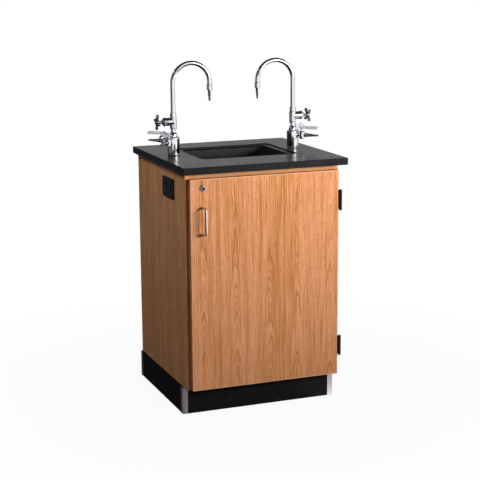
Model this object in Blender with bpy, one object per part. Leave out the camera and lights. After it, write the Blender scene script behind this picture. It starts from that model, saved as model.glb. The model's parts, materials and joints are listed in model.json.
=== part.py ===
"""Free-standing laboratory sink bench with two gooseneck service fixtures.

An oak cabinet on a black plinth carries a black epoxy worktop with a drop-in sink.
Units are metres, +Z is up, the front faces -Y, and the origin is on the floor at the
centre of the bench's outline.
"""

import math

import bpy
from mathutils import Matrix, Vector

# Clearances between neighbouring pieces
GAP = 0.0003
SLIP = 0.0005

# A bend's corner is stretched to at most twice the bar's width
MITRE_LIMIT = 0.5

# Worktop
TOP_OVERHANG = 0.01905
TOP_DEPTH = 0.6033
TOP_THICK = 0.0254
WORK_HEIGHT = 0.9144
TOP_CHAMFER = 0.0015

# Cabinet box
CAB_WIDTH = 0.5842
PANEL_THICK = 0.01905
BACK_THICK = 0.00635
FRONT_SETBACK = 0.0492
BACK_SETBACK = 0.0064
RAIL_HEIGHT = 0.0381

# Plinth and its corner guards
PLINTH_HEIGHT = 0.1016
PLINTH_PROUD = 0.0032
PLINTH_BOARD = 0.018
TOE_RECESS = 0.045
GUARD_LEG = 0.020
GUARD_THICK = 0.0015
GUARD_SHORT = 0.0012

# Sink: its lip hangs on a ledge cut in the worktop, a little below the top face
RECESS_WIDTH = 0.385
RECESS_DEPTH = 0.305
RECESS_RADIUS = 0.016
SINK_OFFSET = 0.021
LEDGE_WIDTH = 0.012
LIP_DROP = 0.004
LIP_THICK = 0.012
SINK_WALL = 0.011
BOWL_CORNER = 0.030
BOWL_DEPTH = 0.190
BOWL_FLOOR = 0.012
BOWL_TAPER = 0.006
BOWL_CLEAR = 0.0015

# Sink outlet
DRAIN_FLANGE_RADIUS = 0.030
DRAIN_FLANGE_THICK = 0.003
DRAIN_RADIUS = 0.019
DRAIN_WALL = 0.003
DRAIN_LENGTH = 0.115
STRAINER_THICK = 0.004
STRAINER_HOLE = 0.0027
STRAINER_CIRCLE = 0.0095
STRAINER_RING_HOLES = 6
DRAIN_NUT_RADIUS = 0.030
DRAIN_NUT_THICK = 0.010

# Door and its reveals
DOOR_THICK = 0.01905
DOOR_GAP = 0.0008
DOOR_REVEAL_LEFT = 0.0136
DOOR_REVEAL_RIGHT = 0.0036
DOOR_REVEAL_TOP = 0.0205
DOOR_REVEAL_BOTTOM = 0.0019
DOOR_EDGE = 0.0010

# Door pull and cam lock share one vertical line near the door's free edge
FITTING_INSET = 0.0465
PULL_DROP = 0.100
PULL_CENTRES = 0.096
PULL_REACH = 0.034
PULL_RADIUS = 0.004
PULL_BEND = 0.010
LOCK_DROP = 0.0323
LOCK_BEZEL_RADIUS = 0.012
LOCK_BEZEL_THICK = 0.0045
LOCK_BARREL_RADIUS = 0.0092
LOCK_PLUG_RADIUS = 0.0062
LOCK_TAIL_RADIUS = 0.0036
LOCK_NUT_RADIUS = 0.0135
LOCK_NUT_THICK = 0.004
KEYWAY_WIDTH = 0.0016
KEYWAY_HEIGHT = 0.0080
KEYWAY_DEPTH = 0.006
CAM_LENGTH = 0.032
CAM_WIDTH = 0.014
CAM_THICK = 0.003
CAM_CLEAR = 0.0010

# Door hinges, five knuckles each
HINGE_HEIGHT = 0.070
HINGE_INSET = 0.110
HINGE_PROUD = 0.004
HINGE_KNUCKLES = 5
PIN_RADIUS = 0.0034
PIN_TIP_RADIUS = 0.0048
PIN_TIP_HEIGHT = 0.0035
LEAF_THICK = 0.0016
LEAF_WIDTH = 0.026
KNUCKLE_RELIEF = 0.0020

# Power socket in the left side panel, lying on its side
SOCKET_BACK = 0.1740
SOCKET_DROP = 0.0755
PLATE_LENGTH = 0.122
PLATE_HEIGHT = 0.073
PLATE_THICK = 0.005
PLATE_RADIUS = 0.006
PLATE_EDGE = 0.0015
OUTLET_RADIUS = 0.0172
OUTLET_FLAT = 0.0143
OUTLET_SPACING = 0.0390
OUTLET_PROUD = 0.0012
OUTLET_DEPTH = 0.024
SLOT_LENGTH = 0.0078
SLOT_WIDTH = 0.0020
SLOT_SPACING = 0.0127
SLOT_DEPTH = 0.010
EARTH_RADIUS = 0.0025
STRAP_WIDTH = 0.024
STRAP_THICK = 0.0015
STRAP_INSET = 0.0017
BOX_LENGTH = 0.096
BOX_HEIGHT = 0.054
BOX_DEPTH = 0.050
BOX_WALL = 0.0016

# Service fixtures: a turret stands at each side of the sink, its nut clear of the side panel
FIXTURE_CLEAR = 0.01755
FIXTURE_SHIFT = 0.028
TURRET_RADIUS = 0.0222
TURRET_HEIGHT = 0.0648
TURRET_EDGE = 0.002
SHANK_RADIUS = 0.0104
SHANK_BELOW = 0.030
TURRET_NUT_RADIUS = 0.019
TURRET_NUT_THICK = 0.008

# Water valve body on the turret
DOME_RADIUS = 0.0150
DOME_HEIGHT = 0.018
NECK_RADIUS = 0.009
NECK_HEIGHT = 0.0102
RING_RADIUS = 0.0125
RING_THICK = 0.0035
BODY_RADIUS = 0.0128
BODY_HEIGHT = 0.0385
SWIVEL_NUT_RADIUS = 0.0114
SWIVEL_NUT_HEIGHT = 0.018
BOSS_RADIUS = 0.0136
BOSS_REACH = 0.024
BOSS_INSET = 0.0008

# Bonnet and four-arm handle
BONNET_RADIUS = 0.0170
BONNET_RIM = 0.0055
BONNET_CONE = 0.0105
BONNET_LENGTH = 0.0225
BONNET_NOSE = 0.0060
STEM_RADIUS = 0.0042
STEM_SEAT = 0.008
HANDLE_STANDOFF = 0.008
HUB_RADIUS = 0.0100
HUB_LENGTH = 0.0150
ARM_RADIUS = 0.0036
ARM_END_RADIUS = 0.0052
HANDLE_REACH = 0.029
HANDLE_TURN_LEFT = math.radians(15)
HANDLE_TURN_RIGHT = math.radians(40)

# Gooseneck and its serrated outlet
TUBE_RADIUS = 0.0085
RISER_LENGTH = 0.1239
GOOSE_SPREAD = 0.142
GOOSE_DROP = 0.0065
COUPLING_RADIUS = 0.0110
COUPLING_LENGTH = 0.022
SPOUT_LENGTH = 0.040
SPOUT_BASE_RADIUS = 0.0078
SPOUT_TIP_RADIUS = 0.0044
SPOUT_BORE = 0.0024
SPOUT_RIDGES = 5

# Gas cocks, two on each turret
COCK_ANGLE = math.radians(45)
COCK_HEIGHT = 0.049
COCK_STANDOFF = 0.0155
COCK_PIPE_RADIUS = 0.0078
COCK_SOCKET = 0.003
COCK_HUB_RADIUS = 0.0112
COCK_HUB_HEIGHT = 0.029
COCK_NOSE = 0.017
LEVER_RISE = 0.0125
LEVER_STEM_RADIUS = 0.0058
LEVER_LENGTH = 0.068
LEVER_TAIL = 0.011
LEVER_NECK = 0.0176
LEVER_WIDTH = 0.0170
LEVER_WAIST = 0.0090
LEVER_THICK = 0.006
LEVER_CAP = 0.0018
HOSE_LENGTH = 0.0485
HOSE_COLLAR_RADIUS = 0.0072
HOSE_COLLAR = 0.006
HOSE_BASE_RADIUS = 0.0066
HOSE_TIP_RADIUS = 0.0033
HOSE_BORE = 0.0014
HOSE_RIDGES = 6
RIDGE_STEP = 0.0009
RIDGE_SLOPE = 0.98

# Places that follow from the sizes
overshoot = max(0.0, PULL_REACH + DOOR_THICK + DOOR_GAP - FRONT_SETBACK)
top_y = overshoot / 2
top_front = top_y - TOP_DEPTH / 2
top_under = WORK_HEIGHT - TOP_THICK
cab_front = top_front + FRONT_SETBACK
cab_back = top_y + TOP_DEPTH / 2 - BACK_SETBACK
cab_side = CAB_WIDTH / 2
cab_inside = cab_side - PANEL_THICK
top_side = cab_side + TOP_OVERHANG
box_bottom = PLINTH_HEIGHT + GAP
box_top = top_under - GAP
rail_bottom = box_top - RAIL_HEIGHT
door_back = cab_front - DOOR_GAP
door_front = door_back - DOOR_THICK
door_left = -cab_side + DOOR_REVEAL_LEFT
door_right = cab_side - DOOR_REVEAL_RIGHT
door_top = top_under - DOOR_REVEAL_TOP
door_bottom = PLINTH_HEIGHT + DOOR_REVEAL_BOTTOM
sink_y = top_y + SINK_OFFSET
fixture_x = cab_inside - FIXTURE_CLEAR - TURRET_NUT_RADIUS
fixture_y = top_y + FIXTURE_SHIFT

for leftover in list(bpy.data.objects):
    bpy.data.objects.remove(leftover, do_unlink=True)


def material(name, color, roughness, metallic=0.0):
    mat = bpy.data.materials.new(name)
    mat.use_nodes = True
    shader = mat.node_tree.nodes["Principled BSDF"]
    shader.inputs["Base Color"].default_value = (*color, 1.0)
    shader.inputs["Roughness"].default_value = roughness
    shader.inputs["Metallic"].default_value = metallic
    return mat


OAK = material("oak_veneer", (0.62, 0.30, 0.12), 0.42)
PLY = material("plywood", (0.58, 0.40, 0.22), 0.6)
EPOXY = material("black_epoxy", (0.035, 0.036, 0.038), 0.28)
BLACK_BASE = material("black_base", (0.012, 0.012, 0.012), 0.55)
SATIN = material("satin_metal", (0.72, 0.70, 0.68), 0.35, 1.0)
STAINLESS = material("stainless", (0.62, 0.62, 0.61), 0.3, 1.0)
CHROME = material("chrome", (0.85, 0.86, 0.88), 0.08, 1.0)
BRONZE = material("dark_bronze", (0.045, 0.030, 0.022), 0.4, 0.8)
BLACK_PLASTIC = material("black_plastic", (0.014, 0.014, 0.015), 0.35)
GREY_STEEL = material("galvanised_steel", (0.45, 0.46, 0.47), 0.45, 1.0)
DRAIN_PLASTIC = material("drain_plastic", (0.03, 0.03, 0.032), 0.4)


def empty(name, location, rotation=(0, 0, 0)):
    holder = bpy.data.objects.new(name, None)
    holder.location = location
    holder.rotation_euler = rotation
    bpy.context.scene.collection.objects.link(holder)
    return holder


def place(name, points, faces, mat, location=(0, 0, 0), rotation=(0, 0, 0), parent=None):
    mesh = bpy.data.meshes.new(name)
    mesh.from_pydata([tuple(p) for p in points], [], faces)
    mesh.validate()
    mesh.shade_smooth()
    mesh.set_sharp_from_angle(angle=math.radians(32))
    obj = bpy.data.objects.new(name, mesh)
    bpy.context.scene.collection.objects.link(obj)
    obj.location = location
    obj.rotation_euler = rotation
    obj.parent = parent
    if mat is not None:
        mesh.materials.append(mat)
    return obj


def skin(loops, closed=False):
    """Points and outward faces of a body made of equal loops, each counter-clockwise
    as seen from the end that the loops run towards."""
    count = len(loops[0])
    points = [p for loop in loops for p in loop]
    faces = []
    last = len(loops) if closed else len(loops) - 1
    for i in range(last):
        a = i * count
        b = (i + 1) % len(loops) * count
        for j in range(count):
            k = (j + 1) % count
            faces.append((a + j, a + k, b + k, b + j))
    if not closed:
        faces.append(tuple(reversed(range(count))))
        faces.append(tuple(range((len(loops) - 1) * count, len(loops) * count)))
    return points, faces


def box(name, low, high, mat=None, parent=None):
    centre = [(a + b) / 2 for a, b in zip(low, high)]
    half = [(b - a) / 2 for a, b in zip(low, high)]
    square = ((-half[0], -half[1]), (half[0], -half[1]), (half[0], half[1]), (-half[0], half[1]))
    loops = [[(x, y, z) for x, y in square] for z in (-half[2], half[2])]
    return place(name, *skin(loops), mat, centre, (0, 0, 0), parent)


def prism(name, outline, low, high, mat=None, **where):
    loops = [[(x, y, z) for x, y in outline] for z in (low, high)]
    return place(name, *skin(loops), mat, **where)


def turned(name, profile, sides, mat=None, closed=False, phase=0.0, **where):
    """A body turned about its own Z; the profile runs upwards on its outer side."""
    steps = [phase + 2 * math.pi * i / sides for i in range(sides)]
    loops = [[(r * math.cos(t), r * math.sin(t), z) for t in steps] for r, z in profile]
    return place(name, *skin(loops, closed), mat, **where)


def tube(name, path, radius, sides, mat=None, **where):
    """A round bar along a path that lies in one plane."""
    path = [Vector(p) for p in path]
    bend = max(((b - a).cross(c - b) for a, b, c in zip(path, path[1:], path[2:])),
               key=lambda v: v.length).normalized()
    loops = []
    for i, point in enumerate(path):
        ahead = (path[min(i + 1, len(path) - 1)] - point)
        behind = (point - path[max(i - 1, 0)])
        if ahead.length:
            ahead.normalize()
        if behind.length:
            behind.normalize()
        along = (ahead + behind).normalized()
        across = bend.cross(along)
        stretch = 1.0
        if 0 < i < len(path) - 1:
            stretch = 1.0 / max(MITRE_LIMIT, along.dot(ahead))
        loop = []
        for j in range(sides):
            t = 2 * math.pi * j / sides
            side = across * math.sin(t) * stretch + bend * math.cos(t)
            loop.append(point + radius * side)
        loops.append(loop)
    if (loops[0][1] - loops[0][0]).cross(loops[0][2] - loops[0][1]).dot(path[1] - path[0]) < 0:
        loops = [list(reversed(loop)) for loop in loops]
    return place(name, *skin(loops), mat, **where)


def rounded(width, depth, radius, steps=5):
    """Outline of a rounded rectangle, counter-clockwise."""
    outline = []
    corners = ((1, 1, 0), (-1, 1, 90), (-1, -1, 180), (1, -1, 270))
    for sx, sy, start in corners:
        cx = sx * (width / 2 - radius)
        cy = sy * (depth / 2 - radius)
        for i in range(steps + 1):
            t = math.radians(start + 90 * i / steps)
            outline.append((cx + radius * math.cos(t), cy + radius * math.sin(t)))
    return outline


def ribbon(path, thick):
    """Outline of a bent strip of even thickness along a plan path, counter-clockwise."""
    path = [Vector(p) for p in path]
    left = []
    right = []
    for i, point in enumerate(path):
        ahead = path[min(i + 1, len(path) - 1)] - point
        behind = point - path[max(i - 1, 0)]
        heads = [v.normalized() for v in (ahead, behind) if v.length > 0]
        along = sum(heads, Vector((0, 0))).normalized()
        normal = Vector((-along.y, along.x)) / max(MITRE_LIMIT, along.dot(heads[0]))
        left.append(point + normal * thick / 2)
        right.append(point - normal * thick / 2)
    outline = [tuple(p) for p in right + left[::-1]]
    area = sum(a[0] * b[1] - b[0] * a[1] for a, b in zip(outline, outline[1:] + outline[:1]))
    return outline if area > 0 else outline[::-1]


def combine(body, tool, operation):
    """Cut or add a tool, which stays in the file as a guide."""
    step = body.modifiers.new(operation.lower(), "BOOLEAN")
    step.operation = operation
    step.solver = "EXACT"
    step.object = tool
    tool.hide_render = True
    tool.display_type = "WIRE"
    return body


def edge_bevel(body, width):
    step = body.modifiers.new("eased_edges", "BEVEL")
    step.width = width
    step.segments = 1
    step.limit_method = "ANGLE"
    return body


def serrated(start, length, base, tip, ridges):
    """Profile of a hose tail: rings that slope towards the tip, from its root on."""
    profile = []
    pitch = length / ridges
    for i in range(ridges):
        root = base + (tip - base) * i / ridges
        end = base + (tip - base) * (i + 1) / ridges
        profile.append((root, start + pitch * i))
        profile.append((end - RIDGE_STEP, start + pitch * (i + RIDGE_SLOPE)))
    return profile


# Cabinet box: sides, bottom, back and the two top rails
left_side = box("left_side_panel", (-cab_side, cab_front, box_bottom),
                (-cab_inside, cab_back, box_top), OAK)
box("right_side_panel", (cab_inside, cab_front, box_bottom), (cab_side, cab_back, box_top), OAK)
inner = cab_inside - GAP
back_front = cab_back - BACK_THICK
box("back_panel", (-inner, back_front, box_bottom), (inner, cab_back, box_top), PLY)
box("bottom_panel", (-inner, cab_front, box_bottom),
    (inner, back_front - GAP, box_bottom + PANEL_THICK), OAK)
box("front_rail", (-inner, cab_front, rail_bottom), (inner, cab_front + PANEL_THICK, box_top), OAK)
box("rear_rail", (-inner, back_front - GAP - PANEL_THICK, rail_bottom),
    (inner, back_front - GAP, box_top), PLY)

# Plinth: two long side boards with a front and a rear board between them
plinth_side = cab_side + PLINTH_PROUD
plinth_front = cab_front + TOE_RECESS
plinth_back = cab_back + PLINTH_PROUD
plinth_inside = plinth_side - PLINTH_BOARD
box("plinth_left", (-plinth_side, plinth_front, 0), (-plinth_inside, plinth_back, PLINTH_HEIGHT),
    BLACK_BASE)
box("plinth_right", (plinth_inside, plinth_front, 0), (plinth_side, plinth_back, PLINTH_HEIGHT),
    BLACK_BASE)
box("plinth_front", (-plinth_inside + GAP, plinth_front, 0),
    (plinth_inside - GAP, plinth_front + PLINTH_BOARD, PLINTH_HEIGHT), BLACK_BASE)
box("plinth_rear", (-plinth_inside + GAP, plinth_back - PLINTH_BOARD, 0),
    (plinth_inside - GAP, plinth_back, PLINTH_HEIGHT), BLACK_BASE)


def corner_guard(name, x, y, turn):
    """An angle strip wrapped round one plinth corner."""
    out = GAP + GUARD_THICK
    path = [(out - GUARD_THICK / 2, -GUARD_LEG + out), (out - GUARD_THICK / 2, out - GUARD_THICK / 2),
            (-GUARD_LEG + out, out - GUARD_THICK / 2)]
    prism(name, ribbon(path, GUARD_THICK), 0, PLINTH_HEIGHT - GUARD_SHORT, SATIN,
          location=(x, y, 0), rotation=(0, 0, math.radians(turn)))


corner_guard("corner_guard_rear_right", plinth_side, plinth_back, 0)
corner_guard("corner_guard_rear_left", -plinth_side, plinth_back, 90)
corner_guard("corner_guard_front_left", -plinth_side, plinth_front, 180)
corner_guard("corner_guard_front_right", plinth_side, plinth_front, 270)

# Worktop with its sink recess, sink opening and fixture holes
worktop = box("worktop", (-top_side, top_front, top_under),
              (top_side, top_y + TOP_DEPTH / 2, WORK_HEIGHT), EPOXY)
edge_bevel(worktop, TOP_CHAMFER)
ledge_z = WORK_HEIGHT - LIP_DROP - LIP_THICK
hole_width = RECESS_WIDTH - 2 * LEDGE_WIDTH
hole_depth = RECESS_DEPTH - 2 * LEDGE_WIDTH
hole_radius = BOWL_CORNER + BOWL_CLEAR
combine(worktop, prism("recess_cutter", rounded(RECESS_WIDTH, RECESS_DEPTH, RECESS_RADIUS),
                       0, 2 * (LIP_DROP + LIP_THICK), location=(0, sink_y, ledge_z)), "DIFFERENCE")
combine(worktop, prism("opening_cutter", rounded(hole_width, hole_depth, hole_radius),
                       -TOP_THICK, TOP_THICK, location=(0, sink_y, top_under)), "DIFFERENCE")
for side, sign in (("left", -1), ("right", 1)):
    drill = turned("shank_drill_" + side, [(SHANK_RADIUS + SLIP, -TOP_THICK),
                                           (SHANK_RADIUS + SLIP, 2 * TOP_THICK)], 20,
                   location=(sign * fixture_x, fixture_y, top_under))
    combine(worktop, drill, "DIFFERENCE")

# Sink bowl: lip, tapering walls and floor as one moulding
lip_w = RECESS_WIDTH - 2 * SLIP
lip_d = RECESS_DEPTH - 2 * SLIP
bowl_w = hole_width - 2 * BOWL_CLEAR
bowl_d = hole_depth - 2 * BOWL_CLEAR
in_w = bowl_w - 2 * SINK_WALL
in_d = bowl_d - 2 * SINK_WALL
in_r = max(0.001, BOWL_CORNER - SINK_WALL / 2)
lip_top = WORK_HEIGHT - LIP_DROP
floor_z = lip_top - BOWL_DEPTH
taper = 2 * BOWL_TAPER
bowl_rings = [
    (bowl_w - taper, bowl_d - taper, BOWL_CORNER, floor_z - BOWL_FLOOR),
    (bowl_w, bowl_d, BOWL_CORNER, ledge_z + GAP),
    (lip_w, lip_d, RECESS_RADIUS - SLIP, ledge_z + GAP),
    (lip_w, lip_d, RECESS_RADIUS - SLIP, lip_top),
    (in_w, in_d, in_r, lip_top),
    (in_w - taper, in_d - taper, in_r, floor_z),
]
sink = place("sink_bowl", *skin([[(x, y, z) for x, y in rounded(w, d, r)]
                                 for w, d, r, z in bowl_rings]), EPOXY, (0, sink_y, 0))
combine(sink, turned("outlet_drill", [(DRAIN_RADIUS + SLIP, -2 * BOWL_FLOOR),
                                      (DRAIN_RADIUS + SLIP, BOWL_FLOOR)], 24,
                     location=(0, sink_y, floor_z)), "DIFFERENCE")

# Sink outlet: flange, tailpiece with its bore from below, and a drilled strainer plate
bore = DRAIN_RADIUS - DRAIN_WALL
outlet = turned("sink_outlet", [
    (bore, -STRAINER_THICK),
    (bore, -DRAIN_LENGTH),
    (DRAIN_RADIUS, -DRAIN_LENGTH),
    (DRAIN_RADIUS, GAP),
    (DRAIN_FLANGE_RADIUS, GAP),
    (DRAIN_FLANGE_RADIUS, GAP + DRAIN_FLANGE_THICK / 2),
    (DRAIN_FLANGE_RADIUS - DRAIN_FLANGE_THICK, GAP + DRAIN_FLANGE_THICK),
    (bore, GAP + DRAIN_FLANGE_THICK / 2),
], 24, STAINLESS, location=(0, sink_y, floor_z))
for i in range(STRAINER_RING_HOLES + 1):
    angle = 2 * math.pi * i / STRAINER_RING_HOLES
    reach = STRAINER_CIRCLE if i < STRAINER_RING_HOLES else 0.0
    drill = turned("strainer_drill_%d" % i, [(STRAINER_HOLE, -2 * STRAINER_THICK),
                                             (STRAINER_HOLE, 2 * STRAINER_THICK)], 6,
                   location=(reach * math.cos(angle), sink_y + reach * math.sin(angle), floor_z))
    combine(outlet, drill, "DIFFERENCE")
nut_top = floor_z - BOWL_FLOOR - GAP
turned("outlet_locknut", [
    (DRAIN_RADIUS + GAP, nut_top),
    (DRAIN_RADIUS + GAP, nut_top - DRAIN_NUT_THICK),
    (DRAIN_NUT_RADIUS, nut_top - DRAIN_NUT_THICK),
    (DRAIN_NUT_RADIUS, nut_top),
], 24, DRAIN_PLASTIC, closed=True, location=(0, sink_y, 0))

# Hinge line at the door's right edge
curl = PIN_RADIUS + GAP + LEAF_THICK / 2
hinge_x = door_right + GAP + LEAF_THICK / 2 + curl
hinge_y = door_front - HINGE_PROUD
knuckle_radius = curl + LEAF_THICK / 2
hinge_zs = (("upper", door_top - HINGE_INSET), ("lower", door_bottom + HINGE_INSET))
door_pivot = empty("door_pivot", (hinge_x, hinge_y, 0))


def on_door(x, y, z):
    return (x - hinge_x, y - hinge_y, z)


# Door slab with the hole for its lock
lock_x = door_left + FITTING_INSET
lock_z = door_top - LOCK_DROP
door = box("door_panel", on_door(door_left, door_front, door_bottom),
           on_door(door_right, door_back, door_top), OAK, door_pivot)
edge_bevel(door, DOOR_EDGE)
facing = (math.pi / 2, 0, 0)
combine(door, turned("lock_drill", [(LOCK_BARREL_RADIUS + SLIP, -2 * DOOR_THICK),
                                    (LOCK_BARREL_RADIUS + SLIP, 2 * DOOR_THICK)], 24,
                     location=on_door(lock_x, door_front, lock_z), rotation=facing,
                     parent=door_pivot), "DIFFERENCE")

# Wire pull: a bent bar with both feet on the door
reach = PULL_REACH - PULL_RADIUS
half_span = PULL_CENTRES / 2
pull_path = [(0, -GAP, -half_span)]
for sign in (-1, 1):
    for i in range(6):
        t = math.radians(90 * i / 5)
        if sign > 0:
            t = math.radians(90) - t
        along = reach - PULL_BEND + PULL_BEND * math.sin(t)
        up = half_span - PULL_BEND + PULL_BEND * math.cos(t)
        pull_path.append((0, -along, sign * up))
pull_path.append((0, -GAP, half_span))
pull_z = door_top - PULL_DROP - half_span
tube("door_pull", pull_path, PULL_RADIUS, 12, CHROME,
     location=on_door(lock_x, door_front, pull_z), parent=door_pivot)

# Cam lock: bezel and barrel through the door, plug, nut and a cam that turns behind the rail
barrel_back = cab_front + PANEL_THICK + CAM_CLEAR - door_front
nut_z = DOOR_THICK + GAP
lock_holder = empty("lock_axis", on_door(lock_x, door_front, lock_z), (-math.pi / 2, 0, 0))
lock_holder.parent = door_pivot
plug_bore = LOCK_PLUG_RADIUS + GAP
bezel_edge = LOCK_BEZEL_THICK / 3
turned("lock_housing", [
    (plug_bore, barrel_back),
    (plug_bore, -LOCK_BEZEL_THICK),
    (LOCK_BEZEL_RADIUS - 1.5 * bezel_edge, -LOCK_BEZEL_THICK),
    (LOCK_BEZEL_RADIUS, -LOCK_BEZEL_THICK + 1.5 * bezel_edge),
    (LOCK_BEZEL_RADIUS, -GAP),
    (LOCK_BARREL_RADIUS, -GAP),
    (LOCK_BARREL_RADIUS, barrel_back),
], 24, CHROME, closed=True, parent=lock_holder)
turned("lock_nut", [
    (LOCK_BARREL_RADIUS + GAP, nut_z + LOCK_NUT_THICK),
    (LOCK_BARREL_RADIUS + GAP, nut_z),
    (LOCK_NUT_RADIUS, nut_z),
    (LOCK_NUT_RADIUS, nut_z + LOCK_NUT_THICK),
], 24, GREY_STEEL, closed=True, parent=lock_holder)
tail = barrel_back + GAP
plug = turned("lock_plug", [
    (LOCK_PLUG_RADIUS, -LOCK_BEZEL_THICK + GAP),
    (LOCK_PLUG_RADIUS, tail),
    (LOCK_TAIL_RADIUS, tail),
    (LOCK_TAIL_RADIUS, tail + 2 * CAM_THICK),
], 20, CHROME, parent=lock_holder)
keyway = (KEYWAY_WIDTH / 2, KEYWAY_HEIGHT / 2, KEYWAY_DEPTH)
combine(plug, box("keyway_cutter", (-keyway[0], -keyway[1], -2 * LOCK_BEZEL_THICK),
                  (keyway[0], keyway[1], keyway[2] - LOCK_BEZEL_THICK), parent=lock_holder),
        "DIFFERENCE")
cam_end = CAM_LENGTH - CAM_WIDTH / 2
cam_outline = []
for centre, start in ((cam_end, -90), (0.0, 90)):
    for i in range(9):
        t = math.radians(start + 180 * i / 8)
        cam_outline.append((centre + CAM_WIDTH / 2 * math.cos(t), CAM_WIDTH / 2 * math.sin(t)))
cam = prism("lock_cam", cam_outline, tail + GAP, tail + GAP + CAM_THICK, GREY_STEEL,
            parent=lock_holder)
combine(cam, turned("cam_drill", [(LOCK_TAIL_RADIUS + GAP, tail - CAM_THICK),
                                  (LOCK_TAIL_RADIUS + GAP, tail + 3 * CAM_THICK)], 16,
                    parent=lock_holder), "DIFFERENCE")

# Hinges: each leaf is a strip whose end curls round the pin, cut into knuckles
frame_line = cab_side + GAP + LEAF_THICK / 2
door_line = door_right + GAP + LEAF_THICK / 2
clear = knuckle_radius + KNUCKLE_RELIEF
wrap = [math.radians(22.5 * i) for i in range(13)]
frame_path = [(frame_line, cab_front + LEAF_WIDTH), (frame_line, hinge_y + 2 * clear),
              (hinge_x + curl, hinge_y + clear)]
frame_path += [(hinge_x + curl * math.cos(t), hinge_y - curl * math.sin(t)) for t in wrap]
door_path = [(door_line, door_back)]
door_path += [(hinge_x - curl * math.cos(t), hinge_y - curl * math.sin(t)) for t in wrap]
step = HINGE_HEIGHT / HINGE_KNUCKLES
for label, z in hinge_zs:
    frame_leaf = prism("hinge_%s_frame_leaf" % label, ribbon(frame_path, LEAF_THICK),
                       z - HINGE_HEIGHT / 2, z + HINGE_HEIGHT / 2, BRONZE)
    door_leaf = prism("hinge_%s_door_leaf" % label,
                      ribbon([(x - hinge_x, y - hinge_y) for x, y in door_path], LEAF_THICK),
                      z - HINGE_HEIGHT / 2, z + HINGE_HEIGHT / 2, BRONZE, parent=door_pivot)
    for k in range(HINGE_KNUCKLES):
        low = z - HINGE_HEIGHT / 2 + k * step - GAP / 2
        high = low + step + GAP
        if k == 0:
            low -= step
        if k == HINGE_KNUCKLES - 1:
            high += step
        slot = box("knuckle_cutter_%s_%d" % (label, k), (hinge_x - 2 * clear, hinge_y - 2 * clear, low),
                   (hinge_x + 2 * clear, hinge_y + clear, high))
        combine(frame_leaf if k % 2 else door_leaf, slot, "DIFFERENCE")
    half = HINGE_HEIGHT / 2 + GAP
    turned("hinge_%s_pin" % label, [
        (PIN_TIP_RADIUS * 0.6, -half - PIN_TIP_HEIGHT),
        (PIN_TIP_RADIUS, -half - PIN_TIP_HEIGHT / 2),
        (PIN_TIP_RADIUS, -half),
        (PIN_RADIUS, -half),
        (PIN_RADIUS, half),
        (PIN_TIP_RADIUS, half),
        (PIN_TIP_RADIUS, half + PIN_TIP_HEIGHT / 2),
        (PIN_TIP_RADIUS * 0.6, half + PIN_TIP_HEIGHT),
    ], 14, BRONZE, location=(hinge_x, hinge_y, z))

# Power socket: local X runs towards the front, local Y up and local Z out of the side
socket_turn = Matrix(((0, 0, -1), (-1, 0, 0), (0, 1, 0))).to_euler()
socket = empty("socket_centre", (-cab_side, cab_front + SOCKET_BACK, top_under - SOCKET_DROP),
               socket_turn)


def outlet_shape(grow):
    """A round outlet face with two flats, one for each half of the pair."""
    outline = []
    limit = math.acos(min(0.999, OUTLET_FLAT / OUTLET_RADIUS))
    for start in (limit, math.pi + limit):
        for i in range(9):
            t = start + (math.pi - 2 * limit) * i / 8
            outline.append(((OUTLET_RADIUS + grow) * math.cos(t), (OUTLET_RADIUS + grow) * math.sin(t)))
    return outline


plate = place("socket_plate", *skin([[(x, y, z) for x, y in rounded(w, h, r, 4)] for w, h, r, z in (
    (PLATE_LENGTH, PLATE_HEIGHT, PLATE_RADIUS, GAP),
    (PLATE_LENGTH, PLATE_HEIGHT, PLATE_RADIUS, GAP + PLATE_THICK - PLATE_EDGE),
    (PLATE_LENGTH - 2 * PLATE_EDGE, PLATE_HEIGHT - 2 * PLATE_EDGE, PLATE_RADIUS - PLATE_EDGE,
     GAP + PLATE_THICK))]), BLACK_PLASTIC, parent=socket)
strap_back = -STRAP_INSET - STRAP_THICK
outlets = box("socket_outlets", (-BOX_LENGTH / 2 + SLIP, -STRAP_WIDTH / 2, strap_back),
              (BOX_LENGTH / 2 - SLIP, STRAP_WIDTH / 2, -STRAP_INSET), BLACK_PLASTIC, socket)
block_half = OUTLET_SPACING / 2 + OUTLET_RADIUS - SLIP
combine(outlets, box("outlet_block", (-block_half, -OUTLET_RADIUS + SLIP, strap_back - OUTLET_DEPTH),
                     (block_half, OUTLET_RADIUS - SLIP, -STRAP_INSET - STRAP_THICK / 2),
                     parent=socket), "UNION")
for i, sign in enumerate((-1, 1)):
    at = (sign * OUTLET_SPACING / 2, 0, 0)
    combine(plate, prism("plate_cutter_%d" % i, outlet_shape(SLIP), -PLATE_THICK, 3 * PLATE_THICK,
                         location=at, parent=socket), "DIFFERENCE")
    combine(outlets, prism("outlet_face_%d" % i, outlet_shape(0), strap_back - STRAP_THICK,
                           GAP + PLATE_THICK + OUTLET_PROUD, location=at, parent=socket), "UNION")
face_z = GAP + PLATE_THICK + OUTLET_PROUD
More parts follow.
